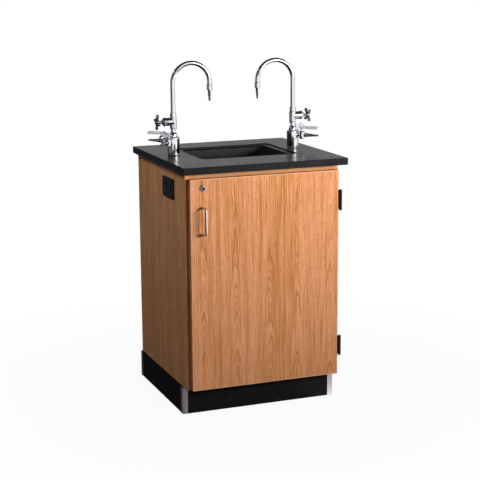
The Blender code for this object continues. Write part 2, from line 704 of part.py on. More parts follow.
for i, sign in enumerate((-1, 1)):
    x = sign * OUTLET_SPACING / 2
    for j, up in enumerate((-1, 1)):
        y = up * SLOT_SPACING / 2
        combine(outlets, box("slot_cutter_%d_%d" % (i, j),
                             (x - SLOT_LENGTH + SLOT_WIDTH, y - SLOT_WIDTH / 2, face_z - SLOT_DEPTH),
                             (x + SLOT_WIDTH, y + SLOT_WIDTH / 2, face_z + SLOT_DEPTH),
                             parent=socket), "DIFFERENCE")
    combine(outlets, turned("earth_cutter_%d" % i, [(EARTH_RADIUS, face_z - SLOT_DEPTH),
                                                    (EARTH_RADIUS, face_z + SLOT_DEPTH)], 10,
                            location=(x + SLOT_LENGTH - EARTH_RADIUS / 2, 0, 0), parent=socket),
            "DIFFERENCE")
box_front = strap_back - GAP
socket_box = box("socket_box", (-BOX_LENGTH / 2, -BOX_HEIGHT / 2, box_front - BOX_DEPTH),
                 (BOX_LENGTH / 2, BOX_HEIGHT / 2, box_front), GREY_STEEL, socket)
combine(socket_box, box("socket_box_cutter",
                        (-BOX_LENGTH / 2 + BOX_WALL, -BOX_HEIGHT / 2 + BOX_WALL,
                         box_front - BOX_DEPTH + BOX_WALL),
                        (BOX_LENGTH / 2 - BOX_WALL, BOX_HEIGHT / 2 - BOX_WALL,
                         box_front + BOX_DEPTH), parent=socket), "DIFFERENCE")
combine(left_side, box("socket_opening", (-BOX_LENGTH / 2 - SLIP, -BOX_HEIGHT / 2 - SLIP, -2 * PANEL_THICK),
                       (BOX_LENGTH / 2 + SLIP, BOX_HEIGHT / 2 + SLIP, PANEL_THICK), parent=socket),
        "DIFFERENCE")

# Heights on a fixture, measured from the worktop's face
dome_z = TURRET_HEIGHT + GAP
neck_z = dome_z + DOME_HEIGHT
ring_z = neck_z + NECK_HEIGHT
body_z = ring_z + RING_THICK
body_top = body_z + BODY_HEIGHT
swivel_top = body_top + SWIVEL_NUT_HEIGHT
valve_z = body_top - BOSS_RADIUS - BOSS_INSET
cock_reach = TURRET_RADIUS + COCK_STANDOFF
cock_top = COCK_HEIGHT + COCK_HUB_HEIGHT / 2
outboard = (0, -math.pi / 2, 0)


def cock(side, label, yaw, turret, holder):
    """One gas cock: body, quarter-turn lever and serrated hose end, pointing along yaw."""
    heading = Vector((math.cos(yaw), math.sin(yaw), 0))
    level = (0, math.pi / 2, yaw)
    socket_floor = TURRET_RADIUS - COCK_SOCKET
    pipe_face = cock_reach + COCK_NOSE
    combine(turret, turned("%s_%s_socket_drill" % (side, label), [
        (COCK_PIPE_RADIUS + GAP, socket_floor - GAP),
        (COCK_PIPE_RADIUS + GAP, 2 * TURRET_RADIUS)], 14,
        location=(0, 0, COCK_HEIGHT), rotation=level, parent=holder), "DIFFERENCE")
    hub_edge = COCK_HUB_RADIUS * 0.2
    body = turned("%s_%s_cock" % (side, label), [
        (COCK_HUB_RADIUS - hub_edge, -COCK_HUB_HEIGHT / 2),
        (COCK_HUB_RADIUS, -COCK_HUB_HEIGHT / 2 + hub_edge),
        (COCK_HUB_RADIUS, COCK_HUB_HEIGHT / 2 - hub_edge),
        (COCK_HUB_RADIUS - hub_edge, COCK_HUB_HEIGHT / 2)], 16, CHROME,
        location=heading * cock_reach + Vector((0, 0, COCK_HEIGHT)), rotation=(0, 0, yaw),
        parent=holder)
    combine(body, turned("%s_%s_cock_pipe" % (side, label), [
        (COCK_PIPE_RADIUS, socket_floor), (COCK_PIPE_RADIUS, pipe_face)], 14,
        location=(0, 0, COCK_HEIGHT), rotation=level, parent=holder), "UNION")

    lever = turned("%s_%s_lever" % (side, label), [
        (LEVER_STEM_RADIUS, GAP),
        (LEVER_STEM_RADIUS, LEVER_RISE),
        (LEVER_STEM_RADIUS, LEVER_RISE + LEVER_THICK + LEVER_CAP)], 14, CHROME,
        location=heading * cock_reach + Vector((0, 0, cock_top)), rotation=(0, 0, yaw),
        parent=holder)
    outline = []
    tip_radius = LEVER_WIDTH / 2
    for i in range(7):
        t = math.radians(-90 + 180 * i / 6)
        outline.append((LEVER_LENGTH - tip_radius + tip_radius * math.cos(t), tip_radius * math.sin(t)))
    outline.append((LEVER_NECK, LEVER_WAIST / 2))
    outline.append((0, LEVER_WIDTH / 2))
    outline.append((-LEVER_TAIL, LEVER_WAIST / 2))
    outline.append((-LEVER_TAIL, -LEVER_WAIST / 2))
    outline.append((0, -LEVER_WIDTH / 2))
    outline.append((LEVER_NECK, -LEVER_WAIST / 2))
    combine(lever, prism("%s_%s_blade" % (side, label), outline, LEVER_RISE, LEVER_RISE + LEVER_THICK,
                         location=heading * cock_reach + Vector((0, 0, cock_top)),
                         rotation=(0, 0, yaw), parent=holder), "UNION")

    start = pipe_face + GAP
    root = start + HOSE_COLLAR
    tail_length = HOSE_LENGTH - HOSE_COLLAR
    profile = [(HOSE_COLLAR_RADIUS, start), (HOSE_COLLAR_RADIUS, root - GAP)]
    profile += serrated(root, tail_length, HOSE_BASE_RADIUS, HOSE_TIP_RADIUS, HOSE_RIDGES)
    profile += [(HOSE_BORE, root + tail_length), (HOSE_BORE, root)]
    turned("%s_%s_hose_end" % (side, label), profile, 12, CHROME, rotation=level,
           location=(0, 0, COCK_HEIGHT), parent=holder)


def fixture(side, x, turn, handle_turn):
    """Turret with a water valve, a swivelling gooseneck and two gas cocks.

    Local -X points outboard, away from the sink.
    """
    holder = empty(side + "_fixture", (x, fixture_y, WORK_HEIGHT), (0, 0, turn))
    turret = turned(side + "_turret", [
        (SHANK_RADIUS, -TOP_THICK - SHANK_BELOW),
        (SHANK_RADIUS, GAP),
        (TURRET_RADIUS, GAP),
        (TURRET_RADIUS, TURRET_HEIGHT - TURRET_EDGE),
        (TURRET_RADIUS - TURRET_EDGE * 0.3, TURRET_HEIGHT - TURRET_EDGE * 0.3),
        (TURRET_RADIUS - TURRET_EDGE, TURRET_HEIGHT),
    ], 32, CHROME, parent=holder)
    turned(side + "_turret_locknut", [
        (SHANK_RADIUS + GAP, -TOP_THICK - GAP),
        (SHANK_RADIUS + GAP, -TOP_THICK - GAP - TURRET_NUT_THICK),
        (TURRET_NUT_RADIUS, -TOP_THICK - GAP - TURRET_NUT_THICK),
        (TURRET_NUT_RADIUS, -TOP_THICK - GAP),
    ], 18, GREY_STEEL, closed=True, parent=holder)

    dome = [(DOME_RADIUS, dome_z)]
    for i in range(5):
        t = math.radians(90 * i / 4)
        dome.append((NECK_RADIUS + (DOME_RADIUS - NECK_RADIUS) * math.cos(t),
                     dome_z + DOME_HEIGHT * (0.3 + 0.7 * math.sin(t))))
    edge = RING_THICK * 0.3
    bore = TUBE_RADIUS + GAP
    body = turned(side + "_valve_body", dome + [
        (NECK_RADIUS, ring_z),
        (RING_RADIUS, ring_z),
        (RING_RADIUS, body_z),
        (BODY_RADIUS - edge, body_z),
        (BODY_RADIUS, body_z + 2 * edge),
        (BODY_RADIUS, body_top - edge),
        (SWIVEL_NUT_RADIUS, body_top + edge),
        (SWIVEL_NUT_RADIUS, swivel_top),
        (bore, swivel_top),
        (bore, body_top),
    ], 20, CHROME, parent=holder)
    combine(body, turned(side + "_valve_boss", [
        (BOSS_RADIUS, 0.0), (BOSS_RADIUS, BOSS_REACH)], 20, location=(0, 0, valve_z),
        rotation=outboard, parent=holder), "UNION")

    seat = BOSS_REACH + GAP
    nose = BOSS_REACH + BONNET_LENGTH
    cone = nose - BONNET_CONE
    flange = cone - BONNET_RIM
    stem_floor = nose - STEM_SEAT
    turned(side + "_bonnet", [
        (BOSS_RADIUS, seat),
        (BOSS_RADIUS, flange),
        (BONNET_RADIUS, flange + GAP),
        (BONNET_RADIUS, cone),
        (BONNET_RADIUS * 0.8, cone + BONNET_CONE * 0.2),
        (BONNET_NOSE, nose),
        (STEM_RADIUS + GAP, nose),
        (STEM_RADIUS + GAP, stem_floor),
    ], 18, CHROME, location=(0, 0, valve_z), rotation=outboard, parent=holder)

    hub = nose + HANDLE_STANDOFF
    hub_end = hub + HUB_LENGTH
    handle = turned(side + "_water_handle", [
        (STEM_RADIUS, stem_floor + GAP),
        (STEM_RADIUS, hub),
        (HUB_RADIUS * 0.85, hub),
        (HUB_RADIUS, hub + HUB_LENGTH * 0.2),
        (HUB_RADIUS, hub + HUB_LENGTH * 0.7),
        (HUB_RADIUS * 0.8, hub + HUB_LENGTH * 0.92),
        (HUB_RADIUS * 0.4, hub_end),
    ], 16, CHROME, location=(0, 0, valve_z), rotation=outboard, parent=holder)
    arm = [(ARM_END_RADIUS * 0.55, HANDLE_REACH),
           (ARM_END_RADIUS, HANDLE_REACH - ARM_END_RADIUS * 0.8),
           (ARM_END_RADIUS * 0.92, HANDLE_REACH - ARM_END_RADIUS * 1.7),
           (ARM_RADIUS, HUB_RADIUS * 1.1)]
    arms = [(r, -d) for r, d in arm] + [(r, d) for r, d in reversed(arm)]
    for i in range(2):
        rod = turned("%s_handle_arms_%d" % (side, i), arms, 10,
                     location=(-hub - HUB_LENGTH * 0.45, 0, valve_z),
                     rotation=(handle_turn + i * math.pi / 2, 0, 0), parent=holder)
        combine(handle, rod, "UNION")

    base = body_top + GAP
    radius = GOOSE_SPREAD / 2
    arch_z = RISER_LENGTH
    path = [(0, 0, 0), (0, 0, arch_z)]
    for i in range(1, 18):
        t = math.pi - math.pi * i / 18
        path.append((radius + radius * math.cos(t), 0, arch_z + radius * math.sin(t)))
    path += [(GOOSE_SPREAD, 0, arch_z), (GOOSE_SPREAD, 0, arch_z - GOOSE_DROP)]
    tube(side + "_gooseneck", path, TUBE_RADIUS, 14, CHROME, location=(0, 0, base), parent=holder)

    outlet_z = arch_z - GOOSE_DROP - GAP
    rim = COUPLING_RADIUS - TUBE_RADIUS
    profile = [(COUPLING_RADIUS - rim / 2, 0), (COUPLING_RADIUS, rim / 2),
               (COUPLING_RADIUS, COUPLING_LENGTH - rim / 2),
               (COUPLING_RADIUS - rim / 2, COUPLING_LENGTH - GAP)]
    profile += serrated(COUPLING_LENGTH, SPOUT_LENGTH, SPOUT_BASE_RADIUS, SPOUT_TIP_RADIUS, SPOUT_RIDGES)
    profile += [(SPOUT_BORE, COUPLING_LENGTH + SPOUT_LENGTH), (SPOUT_BORE, COUPLING_LENGTH)]
    turned(side + "_spout", profile, 14, CHROME, location=(GOOSE_SPREAD, 0, base + outlet_z),
           rotation=(math.pi, 0, 0), parent=holder)

    for label, sign in (("front", 1), ("rear", -1)):
        if turn:
            sign = -sign
        cock(side, label, math.pi + sign * COCK_ANGLE, turret, holder)


fixture("left", -fixture_x, 0.0, HANDLE_TURN_LEFT)
fixture("right", fixture_x, math.pi, HANDLE_TURN_RIGHT)
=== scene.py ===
# %% [markdown]
# # Dressing a laboratory sink bench
# The bench is an oak cabinet with a black epoxy top, a drop-in sink and two chrome water fixtures.
# Its solids come packed with their joints, so this lesson adds what the eye still wants: finishes,
# eased edges, finer turned metal and small screws. All lengths are metres in the solids' own frame.

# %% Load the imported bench
import json
from math import cos, degrees, pi, radians, sin

import bmesh
import bpy
from mathutils import Matrix, Vector


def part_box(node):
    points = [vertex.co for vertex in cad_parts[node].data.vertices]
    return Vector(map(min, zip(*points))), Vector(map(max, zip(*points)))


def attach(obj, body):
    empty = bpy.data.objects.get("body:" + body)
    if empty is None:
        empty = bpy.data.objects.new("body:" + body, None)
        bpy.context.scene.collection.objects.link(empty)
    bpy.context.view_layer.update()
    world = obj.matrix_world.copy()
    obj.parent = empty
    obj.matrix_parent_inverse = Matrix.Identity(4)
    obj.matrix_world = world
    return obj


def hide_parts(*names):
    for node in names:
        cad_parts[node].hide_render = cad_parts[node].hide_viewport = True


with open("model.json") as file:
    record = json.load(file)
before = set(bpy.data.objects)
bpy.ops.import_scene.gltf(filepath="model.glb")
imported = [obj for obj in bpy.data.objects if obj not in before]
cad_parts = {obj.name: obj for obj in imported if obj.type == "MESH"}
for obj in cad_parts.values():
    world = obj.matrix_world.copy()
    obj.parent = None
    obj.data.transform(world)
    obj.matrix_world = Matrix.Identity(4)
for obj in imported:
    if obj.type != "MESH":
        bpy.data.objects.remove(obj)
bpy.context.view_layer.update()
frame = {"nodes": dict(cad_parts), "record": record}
nodes = frame["nodes"]
record = frame["record"]
body_of = {node: body for body, group in record["behaviour"]["bodies"].items() for node in group}

# %% [markdown]
# ## Where the camera stands
# The photograph was taken from the bench's left front, a little above the top, with a long lens.
# A camera can be aimed by hand, but these numbers come from fitting the bench's straight edges, so
# every piece lands where the photograph has it. The matrix columns are right, up and backwards.

# %% Camera
UP = (0.0, 0.0, 1.0)
TURN = radians(21.087)
TILT = radians(-11.97)
ROLL = radians(-0.406)
SPOT = Vector((-1.7464, -4.5522, 1.6148))
LENS = 99.64


def new_object(name, data):
    made = bpy.data.objects.new(name, data)
    bpy.context.scene.collection.objects.link(made)
    return made


ahead = Vector((sin(TURN), cos(TURN), 0.0))
aside = Vector((cos(TURN), -sin(TURN), 0.0))
look = ahead * cos(TILT) + Vector(UP) * sin(TILT)
crown = Vector(UP) * cos(TILT) - ahead * sin(TILT)
right = aside * cos(ROLL) + crown * sin(ROLL)
over = crown * cos(ROLL) - aside * sin(ROLL)

camera = new_object("bench_camera", bpy.data.cameras.new("bench_camera"))
camera.data.lens = LENS
camera.data.clip_end = 100.0
camera.matrix_world = Matrix.Translation(SPOT) @ Matrix((right, over, -look)).transposed().to_4x4()
bpy.context.scene.camera = camera
bpy.context.scene.view_settings.view_transform = "Standard"
print("camera looks along", [round(part, 3) for part in look])

# %% [markdown]
# ## Writing shader maths as plain sums
# A finish is a chain of nodes. Written out one node at a time it hides its meaning, so this class
# wraps one socket: adding or multiplying wraps adds the Math nodes, and `node` makes any other kind.
# Settings go on first, because some of them change which sockets a node has.

# %% A socket that does sums
class Socket:
    """One output of a node; sums with numbers or other sockets add Math nodes to the tree."""

    def __init__(self, tree, output=None):
        self.tree = tree
        self.output = output

    def node(self, kind, settings=None, sockets=None, output=0):
        """Any node: its settings, then a value or a link for each socket named."""
        made = self.tree.nodes.new(kind)
        for name, value in (settings or {}).items():
            setattr(made, name, value)
        for name, value in (sockets or {}).items():
            socket = made.inputs[name]
            if isinstance(value, Socket):
                self.tree.links.new(value.output, socket)
            elif socket.type == "RGBA":
                socket.default_value = (*value, 1.0)
            else:
                socket.default_value = value
        return Socket(self.tree, made.outputs[output])

    def math(self, operation, *values):
        return self.node("ShaderNodeMath", {"operation": operation}, dict(enumerate(values)))

    def __add__(self, other):
        return self.math("ADD", self, other)

    def __radd__(self, other):
        return self.math("ADD", other, self)

    def __sub__(self, other):
        return self.math("SUBTRACT", self, other)

    def __rsub__(self, other):
        return self.math("SUBTRACT", other, self)

    def __mul__(self, other):
        return self.math("MULTIPLY", self, other)

    def __rmul__(self, other):
        return self.math("MULTIPLY", other, self)

    def __truediv__(self, other):
        return self.math("DIVIDE", self, other)

    def __rtruediv__(self, other):
        return self.math("DIVIDE", other, self)

    def least(self, other):
        return self.math("MINIMUM", self, other)

    def most(self, other):
        return self.math("MAXIMUM", self, other)

    def floor(self):
        return self.math("FLOOR", self)

    def ramp(self, low, high):
        """0 at low, 1 at high, eased in between."""
        return self.node("ShaderNodeMapRange", {"interpolation_type": "SMOOTHSTEP"},
                         {"Value": self, "From Min": low, "From Max": high})

    def along(self, direction):
        """How far a place lies along a direction."""
        return self.node("ShaderNodeVectorMath", {"operation": "DOT_PRODUCT"},
                         {0: self, 1: direction}, "Value")

    def noise(self, scale, detail=2.0, roughness=0.5):
        """Noise at one scale, or at three that stretch it."""
        place = self
        if isinstance(scale, tuple):
            place = self.node("ShaderNodeVectorMath", {"operation": "MULTIPLY"}, {0: self, 1: scale})
            scale = 1.0
        return self.node("ShaderNodeTexNoise", None, {"Vector": place, "Scale": scale,
                                                      "Detail": detail, "Roughness": roughness})

    def chance(self):
        """A value from 0 to 1 that each number draws for itself."""
        return self.node("ShaderNodeTexWhiteNoise", {"noise_dimensions": "1D"}, {"W": self}, "Value")

    def blend(self, start, end):
        """Colour from start to end as this value goes from 0 to 1."""
        return self.node("ShaderNodeMix", {"data_type": "RGBA"}, {0: self, 6: start, 7: end}, 2)

    def bump(self, strength, height):
        """Normal of a surface that this value raises by up to the height."""
        return self.node("ShaderNodeBump", None, {"Height": self, "Strength": strength,
                                                  "Distance": height}, "Normal")


print("sockets can add, subtract, multiply and divide")

# %% [markdown]
# ## What every finish starts from
# Each finish is one Principled shader. Numbers that hold all over go straight on its sockets, and
# maps that change over the surface are linked. Places come from Object coordinates: the solids sit
# at the origin, so those are metres on the bench, and they travel with the door or a lever.

# %% A finish
class Finish:
    """A material with one Principled shader, and the place on the bench as its first map."""

    def __init__(self, name, plain):
        self.name = name
        self.material = bpy.data.materials.new(name)
        self.material.use_nodes = True
        self.tree = self.material.node_tree
        self.shader = self.tree.nodes["Principled BSDF"]
        for socket, value in plain.items():
            self.shader.inputs[socket].default_value = value
        self.place = Socket(self.tree).node("ShaderNodeTexCoord", output="Object")

    def facing_up(self):
        """1 where the surface looks straight up, 0 where it stands upright."""
        return self.place.node("ShaderNodeNewGeometry", output="Normal").along(UP)

    def link(self, socket, value):
        self.tree.links.new(value.output, self.shader.inputs[socket])

    def cover(self, colour, roughness, surface):
        """Links the three maps that every finish has, and keeps it under its name."""
        self.link("Base Color", colour)
        self.link("Roughness", roughness)
        self.link("Normal", surface)
        finishes[self.name] = self.material


finishes = {}
print("a finish wants plain numbers and maps")

# %% [markdown]
# ## Studio floor and air
# The bench stands on a plain white ground. A ray from the camera, or one that chrome or lacquer
# sends on, finds white; other rays find ordinary paper and a modest sky. So the ground looks white
# without pouring light on the wood, and part of the paper shows through to keep the soft shadow.

# %% Floor and air
SKY = 0.085
PAPER = (0.13, 0.122, 0.105)
PAPER_SEEN = (0.95, 0.95, 0.95)
WHITE = (1.0, 1.0, 1.0)
SHADOW_SHARE = 0.06
SHADOW_FADES = (0.5, 1.6)
FLOOR_HALF = 30.0


def seen_directly(tree):
    """1 for rays from the camera and for those that a polished or clear surface sends on."""
    start = Socket(tree)
    straight, glossy, clear = [start.node("ShaderNodeLightPath", output="Is %s Ray" % kind)
                               for kind in ("Camera", "Glossy", "Transmission")]
    return (straight + glossy + clear).least(1.0)


def mesh_of(name, shape):
    """A mesh from a bmesh, which is freed."""
    mesh = bpy.data.meshes.new(name)
    shape.to_mesh(mesh)
    shape.free()
    return mesh


air = bpy.data.worlds.new("studio_air")
bpy.context.scene.world = air
air.use_nodes = True
sky = seen_directly(air.node_tree).blend((SKY, SKY, SKY), WHITE)
air.node_tree.links.new(sky.output, air.node_tree.nodes["Background"].inputs["Color"])

ground = bpy.data.materials.new("studio_paper")
ground.use_nodes = True
tree = ground.node_tree
tree.nodes.remove(tree.nodes["Principled BSDF"])
spot = Socket(tree).node("ShaderNodeTexCoord", output="Object")
fibre = spot.noise(40, 4)
away = spot.node("ShaderNodeVectorMath", {"operation": "LENGTH"}, {0: spot}, "Value")
seen = seen_directly(tree)
grey = fibre.blend([0.97 * part for part in PAPER], PAPER)
paper = spot.node("ShaderNodeBsdfDiffuse", None, {"Color": seen.blend(grey, PAPER_SEEN)})
glow = spot.node("ShaderNodeEmission", None, {"Color": WHITE, "Strength": 1.0})
white_share = 1.0 - SHADOW_SHARE * (1.0 - away.ramp(*SHADOW_FADES))
cover = spot.node("ShaderNodeMixShader", None, {0: seen * white_share, 1: paper, 2: glow})
tree.links.new(cover.output, tree.nodes["Material Output"].inputs["Surface"])

sheet = bmesh.new()
bmesh.ops.create_grid(sheet, x_segments=8, y_segments=8, size=FLOOR_HALF)
floor = new_object("studio_floor", mesh_of("studio_floor", sheet))
floor.data.materials.append(ground)
print("floor", 2 * FLOOR_HALF, "m wide, sky", SKY)

# %% [markdown]
# ## Lamps and cards
# The door is lit from the right and from about its own height, so the pull throws its shadow to the
# left and the top's overhang throws almost none. A wide weak lamp opens the left side from above, and
# a third one the back. Chrome shows only what stands round it, so cards make its picture: dark ones
# give the tubes their dark edges, and a bright one stands where the main lamp is. Only polished
# surfaces see the cards, and they don't see the lamps.

# %% Lamps and cards
KEY_SPOT = (1.475, -2.5, 1.3)
KEY_AIM = (0.0, -0.25, 2.8)
KEY_SIZE = (1.45, 0.36)
DARK = (0.05, 0.048, 0.055)
MAT_LIFT = 0.002


def aimed(spot, target, axis):
    return (Vector(target) - Vector(spot)).to_track_quat(axis, "Y").to_euler()


def lamp(name, spot, target, width, height, watts, colour):
    light = bpy.data.lights.new(name, "AREA")
    light.shape = "RECTANGLE"
    light.size = width
    light.size_y = height
    light.energy = watts
    light.color = colour
    holder = new_object(name, light)
    holder.location = spot
    holder.rotation_euler = aimed(spot, target, "-Z")
    holder.visible_glossy = False
    return light


def card(name, spot, width, height, shade, target=None):
    """A card that only polished surfaces see; it faces a point, or else the bench at its height."""
    blank = bmesh.new()
    bmesh.ops.create_grid(blank, x_segments=1, y_segments=1, size=0.5)
    bmesh.ops.scale(blank, vec=(width, height, 1.0), verts=blank.verts)
    cloth = Finish(name, {"Base Color": (0, 0, 0, 1), "Specular IOR Level": 0.0, "Emission Strength": 1.0})
    weave = cloth.place.noise(4).blend(shade, [0.8 * part for part in shade])
    holder = new_object(name, mesh_of(name, blank))
    cloth.link("Emission Color", weave)
    holder.data.materials.append(cloth.material)
    holder.location = spot
    holder.rotation_euler = aimed(spot, target or (0.0, 0.0, spot[2]), "Z")
    holder.visible_camera = False
    holder.visible_diffuse = False
    holder.visible_shadow = False


key = lamp("key_lamp", KEY_SPOT, KEY_AIM, *KEY_SIZE, 99.0, (1.0, 0.99, 0.99))
key.spread = radians(140)
lamp("fill_lamp", (-1.5, -0.15, 2.2), (-0.3, 0.1, 0.7), 0.8, 0.8, 14.4, (0.87, 1.0, 1.04))
lamp("back_lamp", (0.9, 2.6, 2.4), (0, 0.2, 0.6), 1.6, 1.6, 16.0, (1.0, 1.0, 1.0))
card("key_card", KEY_SPOT, *KEY_SIZE, (12.0, 11.8, 11.6), KEY_AIM)
card("front_left_card", (-2.65, -0.9, 1.5), 3.4, 3.2, (0.13, 0.125, 0.145))
card("low_left_card", (-2.6, -0.884, 0.155), 3.4, 0.33, (0.03, 0.028, 0.032))
card("front_card", (-1.9, -5.4, 3.1), 4.6, 3.2, DARK, (0, 0, 1.2))
card("back_left_card", (-1.94, 2.0, 1.5), 3.4, 3.2, (0.06, 0.057, 0.07))
card("back_right_card", (2.65, 0.9, 1.5), 2.6, 3.2, (0.52, 0.51, 0.56))
card("back_wall", (1.15, 2.95, 1.7), 4.6, 3.4, (0.1, 0.1, 0.11))
card("back_card", (0.9, 2.3, 1.35), 2.6, 0.9, (0.6, 0.585, 0.595))
card("ceiling", (0.2, 0.25, 3.4), 6.0, 6.2, (0.03, 0.03, 0.035), (0.2, 0.25, 0))
# Dark cards lie flat on the floor too, so polished surfaces near the bench see a dark floor.
MATS = [("near_mat", -1.5, 0.75, 3.4, 4.5), ("far_mat", -1.0, -3.0, 4.4, 3.0),
        ("right_mat", 0.98, 0.25, 1.3, 1.7), ("right_front_mat", 1.8, -2.8, 1.2, 1.6),
        ("far_right_mat", 2.8, -1.65, 0.8, 1.9)]
for name, x, y, width, depth in MATS:
    card(name, (x, y, MAT_LIFT), width, depth, DARK, (x, y, 1.0))
# A low bright card at the right gives the pull's right half its white highlight.
card("pull_card", (2.3, -0.65, 0.21), 1.8, 0.4, (4.0, 3.93, 3.86), (0, -0.65, 0.21))
print("3 lamps and 15 cards")

# %% [markdown]
# ## Oak veneer
# The cabinet is veneered with plain-sliced oak: each sheet is cut flat through the log, so the
# growth rings show as nested arches in the middle of a sheet and as straight lines at its sides.
# That can be painted, but slicing a log in maths gives it for free: the ring number is the distance
# from the pith, which leans, so the arches close upwards. Pores and fibres run along the grain.
# The door has a paler band of solid wood round its face, which also paints a highlight on its eased edge,
# and painted shade on its top and left edges.

# %% Oak
LEAF_WIDTH = 0.118
RING_WIDTH = 0.0105
OAK_PALE = (0.86, 0.385, 0.192)
OAK_DARK = (0.57, 0.228, 0.058)
OAK_PORE = (0.37, 0.124, 0.028)
OAK_EDGE_BAND_AND_HIGHLIGHT = (0.9, 0.46, 0.26)
OAK_PAINTED_SHADE = (0.09, 0.028, 0.008)
# The rail's tones are yellower than the door's, and darker as painted shade under the top's overhang.
RAIL_SHADED_TONES = ((0.56, 0.275, 0.125), (0.38, 0.17, 0.056))


def oak(name, across, upward, shift, lean=(0.21, 0.12), tones=(OAK_PALE, OAK_DARK), rim=None, depth=1.0):
    """Veneer whose sheets lie side by side along `across`, with the grain along `upward`."""
    wood = Finish(name, {"Coat Weight": 0.06, "Coat Roughness": 0.35, "Specular IOR Level": 0.2})
    wide = wood.place.along(across) + shift
    tall = wood.place.along(upward)
    sheet_place = wide / LEAF_WIDTH
    number = sheet_place.floor()
    luck = number.chance()
    other_luck = (number + 31.7).chance()
    sliced = wood.place.node("ShaderNodeCombineXYZ", None, {"X": wide, "Y": tall, "Z": luck * 9.0})

    sway = (sliced.noise((2, 1.7, 1), 3) - 0.5) * 0.04
    off_pith = (sheet_place - number - 0.4 - luck * 0.2) * LEAF_WIDTH + sway
    flank = off_pith * off_pith * (28.0 + 10.0 * other_luck)
    climb = tall * (lean[0] - lean[1] * tall)
    drift = (sliced.noise((14, 2.6, 1), 3, 0.6) - 0.5) * 0.026
    ring = (flank + climb + drift + other_luck * 0.05) / RING_WIDTH
    uneven = ring.node("ShaderNodeTexNoise", {"noise_dimensions": "1D"}, {"W": ring * 0.55, "Detail": 2.0})
    ring = ring + 2.0 * uneven + 0.4 * sliced.noise((150, 9, 1), 2)
    ring_number = ring.floor()
    ring_luck = (ring_number + number * 57.0).chance()
    phase = ring - ring_number
    early = phase.ramp(0.2, 0.8) * (1.0 - phase.ramp(0.86, 1.0)) * (0.2 + 0.8 * ring_luck)

    fibre = sliced.noise((330, 6, 1), 3, 0.65)
    streak = sliced.noise((95, 2.4, 1), 2).ramp(0.3, 0.7)
    broad = sliced.noise((30, 1.1, 1), 2).ramp(0.3, 0.7)
    pores = sliced.noise((520, 48, 1), 1).ramp(0.5, 0.7)
    dashes = sliced.noise((240, 22, 1), 2)

    grain = 0.75 * early + 1.1 * fibre.ramp(0.32, 0.7) + 0.62 * streak + 0.62 * broad + 0.2 * luck
    clear = depth * (0.76 + 0.42 * tall.ramp(0.1, 0.8))
    grain = 0.45 + (grain - 1.51) * clear
    colour = grain.most(0.0).least(1.0).blend(*tones)
    dark_line = (early * dashes.ramp(0.3, 0.65) * 0.55 + pores * 0.3) * clear
    colour = dark_line.blend(colour, OAK_PORE)
    if rim:
        level = wood.place.along((1.0, 0.0, 0.0))
        from_left = level - rim[0].x
        inside = from_left.least(rim[1].x - level).least((tall - rim[0].z).least(rim[1].z - tall))
        # A paler band round the door's face: solid wood edging, and also a painted highlight on the eased
        # edge.
        colour = (0.8 - 0.8 * inside.ramp(0.0024, 0.0052)).blend(colour, OAK_EDGE_BAND_AND_HIGHLIGHT)
        # The door's top face is painted dark: painted shade under the top's overhang.
        colour = wood.facing_up().ramp(0.8, 0.95).blend(colour, OAK_PAINTED_SHADE)
        # Its left side face is painted darker as well: painted shade.
        left_side = 1.0 - from_left.ramp(0.0002, 0.0008)
        colour = (0.45 * left_side).blend(colour, OAK_PAINTED_SHADE)
    surface = 0.5 * fibre - 0.8 * pores - 0.25 * early
    wood.cover(colour, 0.42 + 0.12 * fibre + 0.14 * pores, surface.bump(0.2, 0.0004))


oak("oak_front", (1.0, 1.0, 0.0), UP, 0.317, rim=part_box("door_panel"))
oak("oak_side", (1.0, 1.0, 0.0), UP, 1.713, (0.19, 0.1), depth=0.8)
oak("oak_rail", (0.0, 0.6, 1.0), (1.0, 0.0, 0.0), 2.291, (0.05, 0.0), RAIL_SHADED_TONES)
oak("oak_floor", (1.0, 0.0, 0.3), (0.0, 1.0, 0.0), 3.507, (0.08, 0.0))
print("oak for the door, sides, rail and bottom")

# %% [markdown]
# ## Plywood, base board and epoxy
# The back and the rear rail are sealed plywood, paler and plainer than the veneer. The base is a
# black sealed board that gets scuffed by shoes. The top and the sink are cast black epoxy: almost
# black in itself, with a dull sheen that turns grey where it is seen at a low angle. The sink's upright
# walls are lighter towards the top, from dried water and painted light; its curves hold painted shade.

# %% Plywood, base board, epoxy
def plywood():
    ply = Finish("plywood", {"Specular IOR Level": 0.3})
    figure = ply.place.noise((14, 14, 1.6), 5, 0.6)
    fibre = ply.place.noise((500, 500, 9), 2)
    streak = (0.75 * figure + 0.35 * fibre).ramp(0.35, 0.75)
    colour = streak.blend((0.8, 0.5, 0.27), (0.58, 0.32, 0.15))
    ply.cover(colour, 0.5 + 0.2 * fibre, fibre.bump(0.2, 0.0003))


def black_base():
    board = Finish("black_base", {"Specular IOR Level": 0.08})
    peel = board.place.noise(900, 2)
    scuff = board.place.noise((26, 26, 70), 4, 0.6).ramp(0.56, 0.74)
    scuff = scuff * (1.0 - board.place.along(UP).ramp(0.01, 0.075))
    colour = (scuff * 0.5).blend((0.0105, 0.0092, 0.01), (0.045, 0.04, 0.04))
    board.cover(colour, 0.42 + 0.18 * peel + 0.15 * scuff, peel.bump(0.12, 0.0002))


